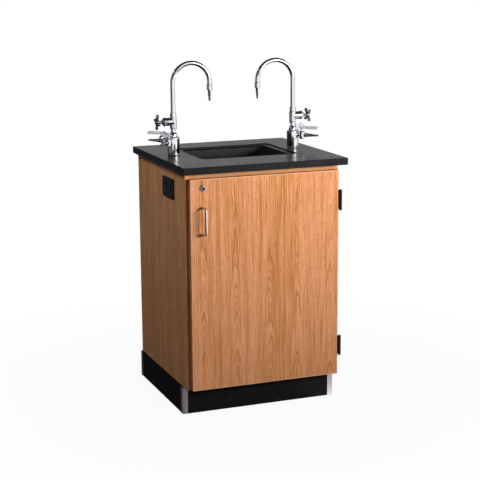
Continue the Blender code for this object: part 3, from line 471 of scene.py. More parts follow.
def epoxy(name, wet=False):
    """Cast resin; a wet one is the sink, whose upright walls are lighter towards the top from dried water
    and painted light, and whose curved faces hold painted shade.
    """
    resin = Finish(name, {"Specular IOR Level": 0.22})
    cloud = resin.place.noise(5, 4, 0.55)
    peel = resin.place.noise(150, 2)
    speck = resin.place.noise(1500, 1).ramp(0.62, 0.75)
    dried = resin.place.noise(38, 3, 0.6).ramp(0.45, 0.8)
    mottle = 0.6 * cloud.ramp(0.35, 0.65) + 0.25 * speck
    colour = mottle.blend((0.0086, 0.0084, 0.0094), (0.0165, 0.0162, 0.0172))
    if wet:
        facing = resin.facing_up()
        upright = 1.0 - (facing * facing).ramp(0.003, 0.04)
        # Upright walls lighter towards the top: dried water, and painted light on the upper walls.
        wall_dried_water_and_light = upright * (0.25 + 0.75 * resin.place.along(UP).ramp(0.72, 0.91))
        # Tilted faces, the rolled edge and the floor sweep, are painted darker: painted shade.
        curve_painted_shade = mottle.blend((0.002, 0.0019, 0.0021), (0.0045, 0.0044, 0.0047))
        colour = facing.ramp(0.9, 0.98).blend(curve_painted_shade, colour)
        colour = wall_dried_water_and_light.blend(colour, (0.024, 0.0232, 0.0255))
    resin.cover(colour, 0.24 + 0.08 * cloud + 0.02 * dried, peel.bump(0.02, 0.0002))


plywood()
black_base()
epoxy("black_epoxy")
epoxy("sink_epoxy", wet=True)
print("plywood, base board and epoxy")

# %% [markdown]
# ## Metals
# Bright pieces are chrome on brass: nearly a mirror, with faint wiping marks. Small castings are
# plated but never polished as bright, and the levers have a satin skin. The corner guards are
# satin metal with fine upright brushing, the hinges dark bronze rubbed bright where hands and the
# door reach, the lock's plug is worn by keys, and the hidden nuts are zinc-plated. One plain grey
# would look like plastic, so each metal has its own marks in colour, gloss and surface.

# %% Metals
def chrome():
    metal = Finish("chrome", {"Metallic": 1.0})
    wipe = metal.place.noise((70, 70, 24), 4, 0.6)
    speck = metal.place.noise(900, 1).ramp(0.66, 0.78)
    haze = 0.7 * wipe.ramp(0.4, 0.7) + 0.3 * speck
    metal.cover(haze.blend((0.88, 0.885, 0.9), (0.8, 0.81, 0.83)),
                0.045 + 0.02 * wipe + 0.03 * speck, wipe.bump(0.004, 0.0002))


def rubbed_plating(name, scale, detail, tones, gloss, mark, depth):
    """Plating with one pattern of rubbing in its colour, gloss and surface."""
    metal = Finish(name, {"Metallic": 1.0})
    rub = metal.place.noise(scale, detail, 0.6)
    metal.cover(rub.ramp(0.35, 0.7).blend(*tones), gloss + 0.1 * rub, rub.bump(mark, depth))


def satin_chrome():
    """The levers: cast, and plated over a fine blasted skin."""
    metal = Finish("satin_chrome", {"Metallic": 0.3})
    blast = metal.place.noise(1400, 2)
    hand = metal.place.noise(90, 3, 0.6)
    colour = hand.ramp(0.35, 0.7).blend((0.9, 0.84, 0.91), (0.8, 0.74, 0.82))
    metal.cover(colour, 0.22 + 0.06 * blast + 0.05 * hand, blast.bump(0.06, 0.0001))


def satin_metal():
    metal = Finish("satin_metal", {"Metallic": 1.0})
    brush = metal.place.noise((2600, 2600, 14), 2)
    stain = metal.place.noise((60, 60, 30), 4, 0.6)
    dirt = (0.5 * brush + 0.7 * stain).ramp(0.35, 0.85)
    metal.cover(dirt.blend((0.94, 0.84, 0.9), (0.72, 0.63, 0.67)),
                0.3 + 0.16 * brush + 0.1 * stain, brush.bump(0.1, 0.0001))


def dark_bronze():
    metal = Finish("dark_bronze", {"Metallic": 0.85})
    patch = metal.place.noise(160, 4, 0.6)
    rubbed = metal.place.noise(420, 3).ramp(0.54, 0.72)
    colour = (0.6 * rubbed + 0.3 * patch).blend((0.03, 0.02, 0.018), (0.11, 0.07, 0.052))
    metal.cover(colour, 0.34 + 0.2 * patch, patch.bump(0.12, 0.0002))


def galvanised_steel():
    metal = Finish("galvanised_steel", {"Metallic": 1.0})
    flake = metal.place.node("ShaderNodeTexVoronoi", {"feature": "F1"},
                             {"Vector": metal.place, "Scale": 260.0}, "Distance")
    haze = metal.place.noise(60, 4)
    bloom = (0.6 * flake + 0.6 * haze).ramp(0.3, 0.9)
    metal.cover(bloom.blend((0.56, 0.57, 0.58), (0.38, 0.39, 0.4)),
                0.32 + 0.2 * haze + 0.1 * flake, haze.bump(0.08, 0.0002))


def stainless():
    metal = Finish("stainless", {"Metallic": 1.0})
    round_marks = metal.place.noise((900, 60, 900), 2)
    haze = metal.place.noise(120, 3)
    colour = (0.5 * round_marks + 0.5 * haze).blend((0.66, 0.66, 0.65), (0.48, 0.48, 0.47))
    metal.cover(colour, 0.22 + 0.2 * haze, round_marks.bump(0.08, 0.0001))


CAST_TONES = ((0.52, 0.51, 0.56), (0.38, 0.375, 0.41))
WORN_TONES = ((0.1, 0.092, 0.1), (0.26, 0.24, 0.25))
for make in (chrome, satin_chrome, satin_metal, dark_bronze, galvanised_steel, stainless):
    make()
rubbed_plating("dull_chrome", 90.0, 4.0, CAST_TONES, 0.07, 0.05, 0.0002)
rubbed_plating("worn_nickel", 900.0, 3.0, WORN_TONES, 0.12, 0.15, 0.0001)
print("8 metals")

# %% [markdown]
# ## Black plastic
# The socket's plate and outlets and the drain's nut are moulded plastic. The mould is lightly
# etched, so they have a fine grain, and dust dulls them. One recipe with three tones serves all.

# %% Black plastic
# The outlets are lighter and glossier than the plate: partly their own plastic, partly a painted sheen of
# light from above.
PLASTICS = {"black_plastic": ((0.0085, 0.008, 0.0085), (0.03, 0.028, 0.029), 0.34),
            "outlet_plastic_painted_sheen": ((0.02, 0.019, 0.019), (0.06, 0.057, 0.057), 0.3),
            "drain_plastic": ((0.022, 0.022, 0.024), (0.06, 0.06, 0.062), 0.42)}


def moulded_plastic(name, clean, dusty, gloss):
    """Black plastic from a lightly etched mould."""
    shell = Finish(name, {"Specular IOR Level": 0.3})
    grain = shell.place.noise(1900, 2)
    dust = shell.place.noise(70, 4, 0.6).ramp(0.5, 0.75)
    shell.cover((0.35 * dust + 0.2 * grain).blend(clean, dusty), gloss + 0.15 * grain + 0.1 * dust,
                grain.bump(0.15, 0.00015))


for name, tones in PLASTICS.items():
    moulded_plastic(name, *tones)
print(sorted(finishes))

# %% [markdown]
# ## Eased edges on the solids that stay
# Boards, top, plinth, guards, hinges and socket have the right shape already. Real edges are never
# razor sharp: sandpaper, moulds and rollers ease them, and the easing catches a thin line of light.
# A Bevel modifier does that without touching the solid, after its triangles are welded.

# %% Ease and finish the carried-over solids
def smoothing(name, sharp_angle):
    """Geometry nodes that weld a solid's triangles and shade it smooth below the angle."""
    group = bpy.data.node_groups.new(name, "GeometryNodeTree")
    group.interface.new_socket("Geometry", in_out="INPUT", socket_type="NodeSocketGeometry")
    group.interface.new_socket("Geometry", in_out="OUTPUT", socket_type="NodeSocketGeometry")
    solid = Socket(group).node("NodeGroupInput")
    welded = solid.node("GeometryNodeMergeByDistance", None, {"Geometry": solid, "Distance": 0.00001})
    angle = solid.node("GeometryNodeInputMeshEdgeAngle")
    sharp = solid.node("FunctionNodeCompare", {"operation": "GREATER_THAN"}, {0: angle, 1: sharp_angle})
    smooth = solid.node("GeometryNodeSetMeshNormal", {"mode": "SHARPNESS"},
                        {"Mesh": welded, "Remove Custom": True, "Edge Sharpness": sharp})
    end = group.nodes.new("NodeGroupOutput")
    group.links.new(smooth.output, end.inputs[0])
    return group


weld = smoothing("weld", radians(30))
finish_smooth = smoothing("finish_smooth", radians(40))


def ease(node, width, finish, turns):
    """Bevels a solid's edges by width and gives it a finish."""
    solid = nodes[node]
    solid.modifiers.new("weld", "NODES").node_group = weld
    flat = solid.modifiers.new("whole_faces", "DECIMATE")
    flat.decimate_type = "DISSOLVE"
    flat.angle_limit = radians(0.5)
    bevel = solid.modifiers.new("eased_edge", "BEVEL")
    bevel.width = width
    bevel.segments = turns
    bevel.limit_method = "ANGLE"
    bevel.angle_limit = radians(35)
    solid.modifiers.new("smooth", "NODES").node_group = finish_smooth
    even = solid.modifiers.new("even_light", "WEIGHTED_NORMAL")
    even.keep_sharp = True
    solid.data.materials.clear()
    solid.data.materials.append(finishes[finish])


CORNERS = ("front_left", "front_right", "rear_left", "rear_right")
EASED = [
    (["left_side_panel", "right_side_panel"], 0.0008, "oak_side", 3),
    (["door_panel"], 0.0016, "oak_front", 4),
    (["front_rail"], 0.0006, "oak_rail", 3),
    (["bottom_panel"], 0.0006, "oak_floor", 3),
    (["back_panel", "rear_rail"], 0.0005, "plywood", 3),
    (["plinth_left", "plinth_right", "plinth_front", "plinth_rear"], 0.0008, "black_base", 3),
    (["corner_guard_" + corner for corner in CORNERS], 0.0005, "satin_metal", 3),
    (["worktop"], 0.0007, "black_epoxy", 3),
    (["sink_outlet"], 0.0003, "stainless", 3),
    (["outlet_locknut"], 0.0008, "drain_plastic", 3),
    ([node for node in nodes if node.startswith("hinge_")], 0.0003, "dark_bronze", 2),
    (["socket_plate"], 0.0004, "black_plastic", 3),
    (["socket_outlets"], 0.0004, "outlet_plastic_painted_sheen", 2),
    (["socket_box", "lock_nut", "lock_cam", "left_turret_locknut", "right_turret_locknut"], 0.0003,
     "galvanised_steel", 2),
]
for group, width, finish, turns in EASED:
    for node in group:
        ease(node, width, finish, turns)
print("eased", sum(1 for node in nodes.values() if node.modifiers), "solids")

# %% [markdown]
# ## Tools for finer metal
# The fixtures are turned and cast brass. A lathe profile can be swept round an axis as a modifier,
# but building the rings in bmesh keeps every edge radius in hand. Corners of a profile are softened
# first, as polishing leaves them.

# %% Skins, lathe and bar
def softened(profile, radius, steps=4):
    """The profile with each inner corner rounded."""
    corners = [Vector(point) for point in profile]
    smooth = [corners[0]]
    for before, corner, after in zip(corners, corners[1:], corners[2:]):
        back = before - corner
        on = after - corner
        reach = min(radius, 0.45 * back.length, 0.45 * on.length)
        start = corner + back.normalized() * reach
        end = corner + on.normalized() * reach
        for step in range(steps + 1):
            t = step / steps
            smooth.append(start * (1 - t) ** 2 + corner * 2 * t * (1 - t) + end * t ** 2)
    smooth.append(corners[-1])
    return smooth


def circle(sides):
    angles = [2 * pi * k / sides for k in range(sides)]
    return [(cos(angle), sin(angle)) for angle in angles]


def skin_of_rings(rings, place=None, endless=False):
    """A bmesh through rings of points; the ends are capped, or joined if the rings are endless."""
    shape = bmesh.new()
    loops = [[shape.verts.new(point) for point in ring] for ring in rings]
    pairs = list(zip(loops, loops[1:]))
    if endless:
        pairs.append((loops[-1], loops[0]))
    for low, high in pairs:
        count = max(len(low), len(high))
        for k in range(count):
            corners = [low[k % len(low)], low[(k + 1) % len(low)],
                       high[(k + 1) % len(high)], high[k % len(high)]]
            shape.faces.new(list(dict.fromkeys(corners)))
    for loop in (loops[0], loops[-1]):
        if len(loop) > 2 and not endless:
            shape.faces.new(loop)
    bmesh.ops.recalc_face_normals(shape, faces=shape.faces)
    if place:
        bmesh.ops.transform(shape, matrix=place, verts=shape.verts)
    return shape


def turned(profile, place=None, sides=48, endless=False):
    """A lathe shape: (radius, height) pairs round the local Z axis."""
    rings = []
    for radius, height in profile:
        if radius < 0.00002:
            rings.append([(0.0, 0.0, height)])
        else:
            rings.append([(radius * x, radius * y, height) for x, y in circle(sides)])
    return skin_of_rings(rings, place, endless)


def bent_bar(path, radius, place, sides=36):
    """A round bar along a path that stays in one plane."""
    points = [Vector(point) for point in path]
    flat = (points[len(points) // 2] - points[0]).cross(points[-1] - points[0]).normalized()
    rings = []
    for k, point in enumerate(points):
        ahead = (points[min(k + 1, len(points) - 1)] - points[max(k - 1, 0)]).normalized()
        outward = flat.cross(ahead).normalized()
        rings.append([point + radius * (outward * x + flat * y) for x, y in circle(sides)])
    return skin_of_rings(rings, place)


def block(size, place):
    """A plain cutter, to be taken away from another shape."""
    shape = bmesh.new()
    bmesh.ops.create_cube(shape, size=1.0)
    bmesh.ops.scale(shape, vec=size, verts=shape.verts)
    bmesh.ops.transform(shape, matrix=place, verts=shape.verts)
    return shape


print("profiles can be softened, turned and bent")

# %% [markdown]
# ## Fusing, and standing in for a solid
# A casting is one skin, so overlapping shapes are fused by an exact Boolean, and slots are cut the
# same way. The piece then stands for a solid: it rides on that solid's body, and the solid is hidden.

# %% Fusing, and standing in for a solid
def joined(main, others, operation="UNION"):
    """One skin from a main shape and others, fused on or cut away."""
    blanks = [new_object("blank", mesh_of("blank", shape)) for shape in [main] + others]
    for other in blanks[1:]:
        work = blanks[0].modifiers.new("work", "BOOLEAN")
        work.operation = operation
        work.solver = "EXACT"
        work.object = other
    whole = bmesh.new()
    whole.from_object(blanks[0], bpy.context.evaluated_depsgraph_get())
    for blank in blanks:
        mesh = blank.data
        bpy.data.objects.remove(blank)
        bpy.data.meshes.remove(mesh)
    return whole


def smooth_mesh(name, shape, finish, sharp):
    mesh = mesh_of(name, shape)
    mesh.shade_smooth()
    mesh.set_sharp_from_angle(angle=radians(sharp))
    mesh.materials.append(finishes[finish])
    return mesh


def stand_for(node, shape, finish):
    """Puts a finer piece in place of a solid, on its body and with its finish."""
    name = node + "_made"
    piece = new_object(name, smooth_mesh(name, shape, finish, 32))
    even = piece.modifiers.new("even_light", "WEIGHTED_NORMAL")
    even.keep_sharp = True
    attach(piece, body_of[node])
    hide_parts(node)


print("shapes can be fused, cut and put in place")

# %% [markdown]
# ## Rings of the cast sink
# The sink is poured in one piece with its lip, and a casting has no sharp inner edges. One bevel
# can't give edges of several sizes, so the bowl is a skin through rings: level rectangles with round
# corners, and circles with as many points where it meets the outlet.

# %% Rings of the sink
bowl_low, bowl_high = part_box("sink_bowl")
bowl_size = bowl_high - bowl_low
bowl_middle = (bowl_low + bowl_high) / 2
TURN_STEPS = 8
SIDE_STEPS = 6


def rounded_frame(inset, height, radius):
    """Points of a level rounded rectangle that lies a distance inside the lip's outline."""
    reach = Vector((bowl_size.x / 2 - inset - radius, bowl_size.y / 2 - inset - radius, 0.0))
    corners = []
    for quarter, (x, y) in enumerate(((1, 1), (-1, 1), (-1, -1), (1, -1))):
        centre = Vector((x * reach.x, y * reach.y, height))
        turns = [pi / 2 * (quarter + k / TURN_STEPS) for k in range(TURN_STEPS + 1)]
        corners.append([centre + radius * Vector((cos(t), sin(t), 0.0)) for t in turns])
    ring = []
    for corner, following in zip(corners, corners[1:] + corners[:1]):
        ring += corner
        ring += [corner[-1].lerp(following[0], k / SIDE_STEPS) for k in range(1, SIDE_STEPS)]
    return ring


def round_frame(radius, height, like):
    """A circle with one point for each point of another ring, in the same direction."""
    return [Vector((p.x, p.y, 0.0)).normalized() * radius + Vector((0.0, 0.0, height)) for p in like]


print("sink", [round(1000 * part) for part in bowl_size], "mm")

# %% [markdown]
# ## The cast sink
# The rings run from the outlet's hole under the floor, up the outside and over the lip, which rolls
# into the walls. The walls sweep into a floor that falls to the outlet, and it ends at the hole again.

# %% Sink
FLANGE = 0.0033
LIP_EDGE = 0.0118
LIP_FLAT = 0.0175
LIP_ROLL = 0.007
ROLL_CORNER = 0.032
ROLL_STEPS = 6
OUTER_WALL = 0.0134
TAPER = 0.006
SWEEP = 0.014
SWEEP_CORNER = 0.028
FLOOR_FALL = 0.003
OUTLET_SEAT = 0.034
OUTLET_HOLE = 0.0197

bottom = bowl_low.z
top = bowl_high.z
floor_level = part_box("sink_outlet")[1].z - FLANGE
under_lip = top - LIP_EDGE
foot = OUTER_WALL + TAPER
# Inset, height and corner radius of each ring, from the rounded foot to the lip's flat top.
outside = [(foot + 0.008, bottom, 0.022), (foot + 0.0023, bottom + 0.0023, 0.028),
           (foot, bottom + 0.008, 0.03), (OUTER_WALL, under_lip, 0.03),
           (0.0008, under_lip, 0.015), (0.0, under_lip + 0.0008, 0.0157),
           (0.0, top - 0.0009, 0.0157), (0.0003, top - 0.0003, 0.0154), (0.0009, top, 0.0148)]
rings = [rounded_frame(*ring) for ring in outside]
quarter_turn = [pi / 2 * step / ROLL_STEPS for step in range(ROLL_STEPS + 1)]
for angle in quarter_turn:
    inward = LIP_ROLL * sin(angle)
    height = top - LIP_ROLL * (1 - cos(angle))
    rings.append(rounded_frame(LIP_FLAT + inward, height, ROLL_CORNER - inward))
for angle in quarter_turn:
    inward = SWEEP * (1 - cos(angle))
    height = floor_level + FLOOR_FALL + SWEEP * (1 - sin(angle))
    rings.append(rounded_frame(LIP_FLAT + LIP_ROLL + TAPER + inward, height, SWEEP_CORNER - 0.8 * inward))
rings.append(round_frame(OUTLET_SEAT, floor_level, rings[-1]))
rings.append(round_frame(OUTLET_HOLE, floor_level, rings[-1]))
rings.insert(0, round_frame(OUTLET_HOLE, bottom, rings[0]))
bowl_place = Matrix.Translation((bowl_middle.x, bowl_middle.y, 0.0))
stand_for("sink_bowl", skin_of_rings(rings, bowl_place, endless=True), "sink_epoxy")
print(len(rings), "rings, sink floor at", round(floor_level, 4))

# %% [markdown]
# ## Turrets and valve bodies
# Each fixture stands on a plain round turret with a thin shadow groove at its foot. A domed base, a
# neck and a ring carry the valve body, whose boss looks outwards and whose top nut lets the
# gooseneck swivel. They are turned shapes; the body and its boss are fused.

# %% Turrets and valve bodies
OUTBOARD = Matrix.Rotation(-pi / 2, 4, "Y")
VALVE_Z = 0.1209
TURRET = [(0, -0.0554), (0.0104, -0.0554), (0.0104, 0.0003), (0.0222, 0.0003), (0.0222, 0.0034),
          (0.0214, 0.0039), (0.0214, 0.0045), (0.0222, 0.005), (0.0222, 0.0648), (0, 0.0648)]
BODY = [(0, 0.0651), (0.015, 0.0651), (0.015, 0.07), (0.0142, 0.0755), (0.0118, 0.08),
        (0.0093, 0.0826), (0.009, 0.085), (0.009, 0.0933), (0.0125, 0.0933), (0.0125, 0.0966),
        (0.0114, 0.0968), (0.0128, 0.099), (0.0128, 0.1345), (0.0122, 0.1353), (0.0107, 0.1357),
        (0.0107, 0.1364), (0.0114, 0.1368), (0.0114, 0.1533), (0.0088, 0.1533), (0.0088, 0.1353),
        (0, 0.1353)]
BOSS = [(0, 0.0), (0.0148, 0.0), (0.0148, 0.024), (0, 0.024)]


def lifted(x, z):
    return Matrix.Translation((x, 0.0, z))


top_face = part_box("worktop")[1].z
fixture_places = {}
for side, turn in (("left", 0.0), ("right", pi)):
    low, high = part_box(side + "_turret")
    foot = ((low.x + high.x) / 2, (low.y + high.y) / 2, top_face)
    fixture_places[side] = Matrix.Translation(foot) @ Matrix.Rotation(turn, 4, "Z")
for side, place in fixture_places.items():
    stand_for(side + "_turret", turned(softened(TURRET, 0.0034, 6), place, 72), "chrome")
    boss = turned(softened(BOSS, 0.0008), place @ lifted(0, VALVE_Z) @ OUTBOARD, 56)
    body = turned(softened(BODY, 0.0007), place, 56)
    stand_for(side + "_valve_body", joined(body, [boss]), "chrome")
feet = [place.translation for place in fixture_places.values()]
print("turrets stand at", [[round(part, 4) for part in foot] for foot in feet])

# %% [markdown]
# ## Bonnets and water handles
# A bonnet screws into the boss by a hexagon and tapers to the stem; the left one gets the darker dull
# plating, as painted shade in its reflections. The handle has a hub on that stem and four arms with
# rounded ends. The two handles rest at different angles, as they were left when the photograph was
# taken, and each turns on its own body.

# %% Bonnets and water handles
SEAT = [(0, 0.0243), (0.0148, 0.0243), (0.0148, 0.0316), (0, 0.0316)]
HEXAGON = [(0, 0.0308), (0.0156, 0.0308), (0.017, 0.0316), (0.017, 0.0352), (0.0158, 0.036),
           (0, 0.036)]
CONE = [(0, 0.0355), (0.0145, 0.0355), (0.0136, 0.0381), (0.0096, 0.0425), (0.0066, 0.045),
        (0.006, 0.0465), (0.0045, 0.0465), (0.0045, 0.0385), (0, 0.0385)]
HUB = [(0, 0.0388), (0.0042, 0.0388), (0.0042, 0.0545), (0.0085, 0.0545), (0.01, 0.0575),
       (0.01, 0.065), (0.008, 0.0683), (0.0062, 0.0688), (0.006, 0.0684), (0.0052, 0.0684),
       (0.0048, 0.069), (0, 0.0695)]
ARM = [(0, 0.0), (0.0048, 0.0), (0.0044, 0.011), (0.005, 0.0175), (0.0058, 0.0215), (0.0058, 0.025),
       (0.0048, 0.0278), (0.0028, 0.029), (0, 0.029)]
ARM_REACH = 0.06125
# The left bonnet is a darker copy of the right one's chrome: painted shade in its reflections.
BONNET_FINISH_WITH_SHADE = {"left": "dull_chrome", "right": "chrome"}
HANDLE_TURNS = {"left": radians(15), "right": radians(40)}
for side, place in fixture_places.items():
    axis = place @ lifted(0, VALVE_Z) @ OUTBOARD
    nut = turned(HEXAGON, axis, 6)
    bmesh.ops.bevel(nut, geom=nut.edges[:], offset=0.0005, segments=2, affect="EDGES")
    seat = turned(softened(SEAT, 0.0005), axis, 48)
    cone = turned(softened(CONE, 0.001), axis, 48)
    stand_for(side + "_bonnet", joined(nut, [seat, cone]), BONNET_FINISH_WITH_SHADE[side])
    hub = turned(softened(HUB, 0.0009), axis, 48)
    arms = []
    for quarter in range(4):
        spin = Matrix.Rotation(HANDLE_TURNS[side] + quarter * pi / 2, 4, "X")
        arms.append(turned(softened(ARM, 0.0012), place @ lifted(-ARM_REACH, VALVE_Z) @ spin, 28))
    stand_for(side + "_water_handle", joined(hub, arms), "dull_chrome")
print("handles at", [round(degrees(turn)) for turn in HANDLE_TURNS.values()], "degrees")

# %% [markdown]
# ## Goosenecks and spouts
# A gooseneck is one length of tube bent over a former into a half circle. It ends in a coupling and
# a serrated tail, whose rings grip a hose. The bend has many short steps here, because chrome
# shows the slightest facet.

# %% Goosenecks and spouts
TUBE_RADIUS = 0.0085
TUBE_FOOT = 0.1356
RISER = 0.1239
SPREAD = 0.142
BEND_STEPS = 90
TUBE_END = 0.0065
SPOUT_START = 0.0068


def serrations(start, length, base, tip, count, step):
    """Profile of a hose tail: sloping rings, each with a short sharp back."""
    profile = []
    pitch = length / count
    for ring in range(count):
        wide = base + (tip - base) * ring / count
        narrow = base + (tip - base) * (ring + 1) / count - step
        profile.append((wide - 0.0002, start + pitch * ring))
        profile.append((wide, start + pitch * (ring + 0.1)))
        profile.append((wide, start + pitch * (ring + 0.22)))
        profile.append((narrow, start + pitch * (ring + 0.97)))
    return profile


goose_path = [(0, 0, RISER * k / 6) for k in range(7)]
for k in range(1, BEND_STEPS + 1):
    angle = pi * (1 - k / BEND_STEPS)
    goose_path.append((SPREAD / 2 * (1 + cos(angle)), 0, RISER + SPREAD / 2 * sin(angle)))
goose_path.append((SPREAD, 0, RISER - TUBE_END))
COUPLING = [(0, 0.0), (0.0098, 0.0), (0.011, 0.0012), (0.011, 0.006), (0.0106, 0.0066),
            (0.0106, 0.0154), (0.011, 0.016), (0.011, 0.0208), (0.0098, 0.0218)]
TAIL = serrations(0.022, 0.04, 0.0078, 0.0044, 5, 0.0009)
BORE = [(0.0024, 0.062), (0.0024, 0.022), (0, 0.022)]
for side, place in fixture_places.items():
    base = place @ lifted(0, TUBE_FOOT)
    stand_for(side + "_gooseneck", bent_bar(goose_path, TUBE_RADIUS, base, 48), "chrome")
    mouth = base @ lifted(SPREAD, RISER - SPOUT_START) @ Matrix.Rotation(pi, 4, "X")
    stand_for(side + "_spout", turned(softened(COUPLING + TAIL + BORE, 0.0003, 2), mouth, 48), "chrome")
steps = [(Vector(b) - Vector(a)).length for a, b in zip(goose_path, goose_path[1:])]
print("tube length", round(sum(steps), 3))

# %% [markdown]
# ## Paddle of a lever
# Each gas cock has a lever with a flat paddle for the fingers. It could be an outline with a
# thickness, but a cast one is domed, so its skin runs through domed sections of several widths.

# %% Paddle of a lever
# Reach, half width and height of each section.
BLADE = [(-0.0112, 0.0, 0.0), (-0.0109, 0.0026, 0.0036), (-0.0094, 0.005, 0.0066),
         (-0.006, 0.0074, 0.009), (0.0, 0.0085, 0.0102), (0.006, 0.0076, 0.01),
         (0.012, 0.0064, 0.0096), (0.019, 0.006, 0.0094), (0.03, 0.0064, 0.0098),
         (0.042, 0.0074, 0.0104), (0.054, 0.0082, 0.0106), (0.06, 0.0082, 0.01),
         (0.0644, 0.007, 0.0084), (0.067, 0.0048, 0.0058), (0.0679, 0.0026, 0.0032),
         (0.0681, 0.0, 0.0)]
BLADE_FLOOR = 0.0092
BELLY = 0.1


def paddle(place, steps=18):
    """Lever blade: domed above a nearly flat underside."""
    rings = []
    for reach, wide, high in BLADE:
        ring = []
        for k in range(2 * steps if wide else 1):
            angle = pi * k / steps
            rise = sin(angle) * (high if k < steps else BELLY * high)
            ring.append((reach, wide * cos(angle), BLADE_FLOOR + rise))
        rings.append(ring)
    return skin_of_rings(rings, place)


print("paddle", round(1000 * (BLADE[-1][0] - BLADE[0][0])), "mm long")

# %% [markdown]
# ## Gas cocks, levers and hose ends
# Two cocks stand at each turret's outer side. Each has an upright barrel on a short pipe, a lever
# that turns a quarter turn on top, and a serrated hose end. All are turned shapes but the paddle,
# which is fused with its stem. The levers are satin, apart from a bright one at the left front.

# %% Gas cocks
COCK_Z = 0.049
COCK_REACH = 0.0377
BARREL_TOP = 0.0145
BARREL = [(0, -0.0145), (0.009, -0.0145), (0.0112, -0.0125), (0.0112, 0.0068), (0.0104, 0.0074),
          (0.0104, 0.0084), (0.0112, 0.009), (0.0112, 0.0122), (0.0092, BARREL_TOP), (0, BARREL_TOP)]
PIPE = [(0, 0.0192), (0.0078, 0.0192), (0.0078, 0.025), (0.007, 0.0256), (0.007, 0.048),
        (0.0078, 0.0488), (0.0078, 0.0547), (0, 0.0547)]
STEM = [(0, 0.0003), (0.0058, 0.0003), (0.0058, 0.003), (0.005, 0.004), (0.005, 0.011),
        (0.0058, 0.012), (0.0058, 0.0203), (0, 0.0203)]
HOSE_END = [(0, 0.055), (0.0066, 0.055), (0.0072, 0.0556), (0.0072, 0.0602), (0.0066, 0.0607)]
HOSE_TAIL = serrations(0.061, 0.0425, 0.0066, 0.0033, 6, 0.0009)
HOSE_BORE = [(0.0014, 0.1035), (0.0014, 0.061), (0, 0.061)]
LEVER_FINISH = {"left_front": "chrome"}
for side, place in fixture_places.items():
    for label, sign in (("front", 1), ("rear", -1)):
        cock = "%s_%s" % (side, label)
        yaw = pi + (sign if side == "left" else -sign) * pi / 4
        heading = place @ Matrix.Rotation(yaw, 4, "Z")
        level = heading @ lifted(0, COCK_Z) @ Matrix.Rotation(pi / 2, 4, "Y")
        barrel = turned(softened(BARREL, 0.0006), heading @ lifted(COCK_REACH, COCK_Z), 48)
        pipe = turned(softened(PIPE, 0.0004), level, 40)
        stand_for(cock + "_cock", joined(barrel, [pipe]), "chrome")
        crown_place = heading @ lifted(COCK_REACH, COCK_Z + BARREL_TOP)
        stem = turned(softened(STEM, 0.0006), crown_place, 40)
        lever = joined(paddle(crown_place), [stem])
        stand_for(cock + "_lever", lever, LEVER_FINISH.get(cock, "satin_chrome"))
        end = turned(softened(HOSE_END + HOSE_TAIL + HOSE_BORE, 0.0002, 2), level, 40)
        stand_for(cock + "_hose_end", end, "dull_chrome")
print("4 cocks, levers and hose ends")

# %% [markdown]
# ## Door pull
# The pull is one bent wire whose ends stand on the door. It is swept along its path as the tubes of
# the goosenecks are, with short steps in its two bends.

# %% Pull
low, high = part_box("door_pull")
door_low, door_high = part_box("door_panel")
door_face = door_low.y
pull_place = Matrix.Translation(((low.x + high.x) / 2, door_face, (low.z + high.z) / 2))
PULL_REACH = 0.03
PULL_BEND = 0.01
PULL_STEPS = 12
HALF_SPAN = 0.048
PULL_FOOT = 0.0003
PULL_LEG = 0.01
pull_path = [(0, -PULL_FOOT, -HALF_SPAN), (0, -PULL_LEG, -HALF_SPAN)]
for sign in (-1, 1):
    for k in range(PULL_STEPS + 1):
        angle = pi / 2 * (k / PULL_STEPS if sign < 0 else 1 - k / PULL_STEPS)
        pull_path.append((0, -(PULL_REACH - PULL_BEND + PULL_BEND * sin(angle)),
                          sign * (HALF_SPAN - PULL_BEND + PULL_BEND * cos(angle))))
pull_path += [(0, -PULL_LEG, HALF_SPAN), (0, -PULL_FOOT, HALF_SPAN)]
stand_for("door_pull", bent_bar(pull_path, 0.004, pull_place, 32), "chrome")
print("pull", round(2000 * HALF_SPAN), "mm between its legs")

# %% [markdown]
# ## Cam lock
# The lock shows a domed ring, dulled by hands, with the keyed plug sunk in its middle. The plug passes
# through the ring, so that is turned as an endless profile, and the keyway is cut out of the plug.

# %% Lock
low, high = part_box("lock_plug")
lock_place = Matrix.Translation(((low.x + high.x) / 2, door_face, (low.z + high.z) / 2))
lock_place = lock_place @ Matrix.Rotation(-pi / 2, 4, "X")
barrel_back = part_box("lock_housing")[1].y - door_face
plug_back = high.y - door_face
plug_step = plug_back - 0.006
HOUSING = [(0.0065, barrel_back), (0.0065, -0.0036), (0.007, -0.0045), (0.0084, -0.0042),
           (0.0102, -0.0033), (0.0115, -0.0018), (0.012, -0.0003), (0.0092, -0.0003),
           (0.0092, barrel_back), (0.0065, barrel_back)]
PLUG = [(0, -0.0028), (0.0052, -0.0028), (0.0062, -0.0022), (0.0062, plug_step), (0.0036, plug_step),
        (0.0036, plug_back), (0, plug_back)]
KEYWAY = (0.0016, 0.008, 0.012)
housing = turned(softened(HOUSING, 0.0005)[:-1], lock_place, 56, endless=True)
stand_for("lock_housing", housing, "dull_chrome")
plug = turned(softened(PLUG, 0.0003, 2), lock_place, 48)
stand_for("lock_plug", joined(plug, [block(KEYWAY, lock_place)], "DIFFERENCE"), "worn_nickel")
print("lock barrel", round(1000 * barrel_back, 1), "mm deep")

# %% [markdown]
# ## Screw heads
# The guards, the hinges and the socket plate are held by small screws that the solids leave out. A
# head is turned, and its slot or cross is cut. It is made once, and its screws share the mesh.

# %% Screw heads
CROSS = (0.0, pi / 2)


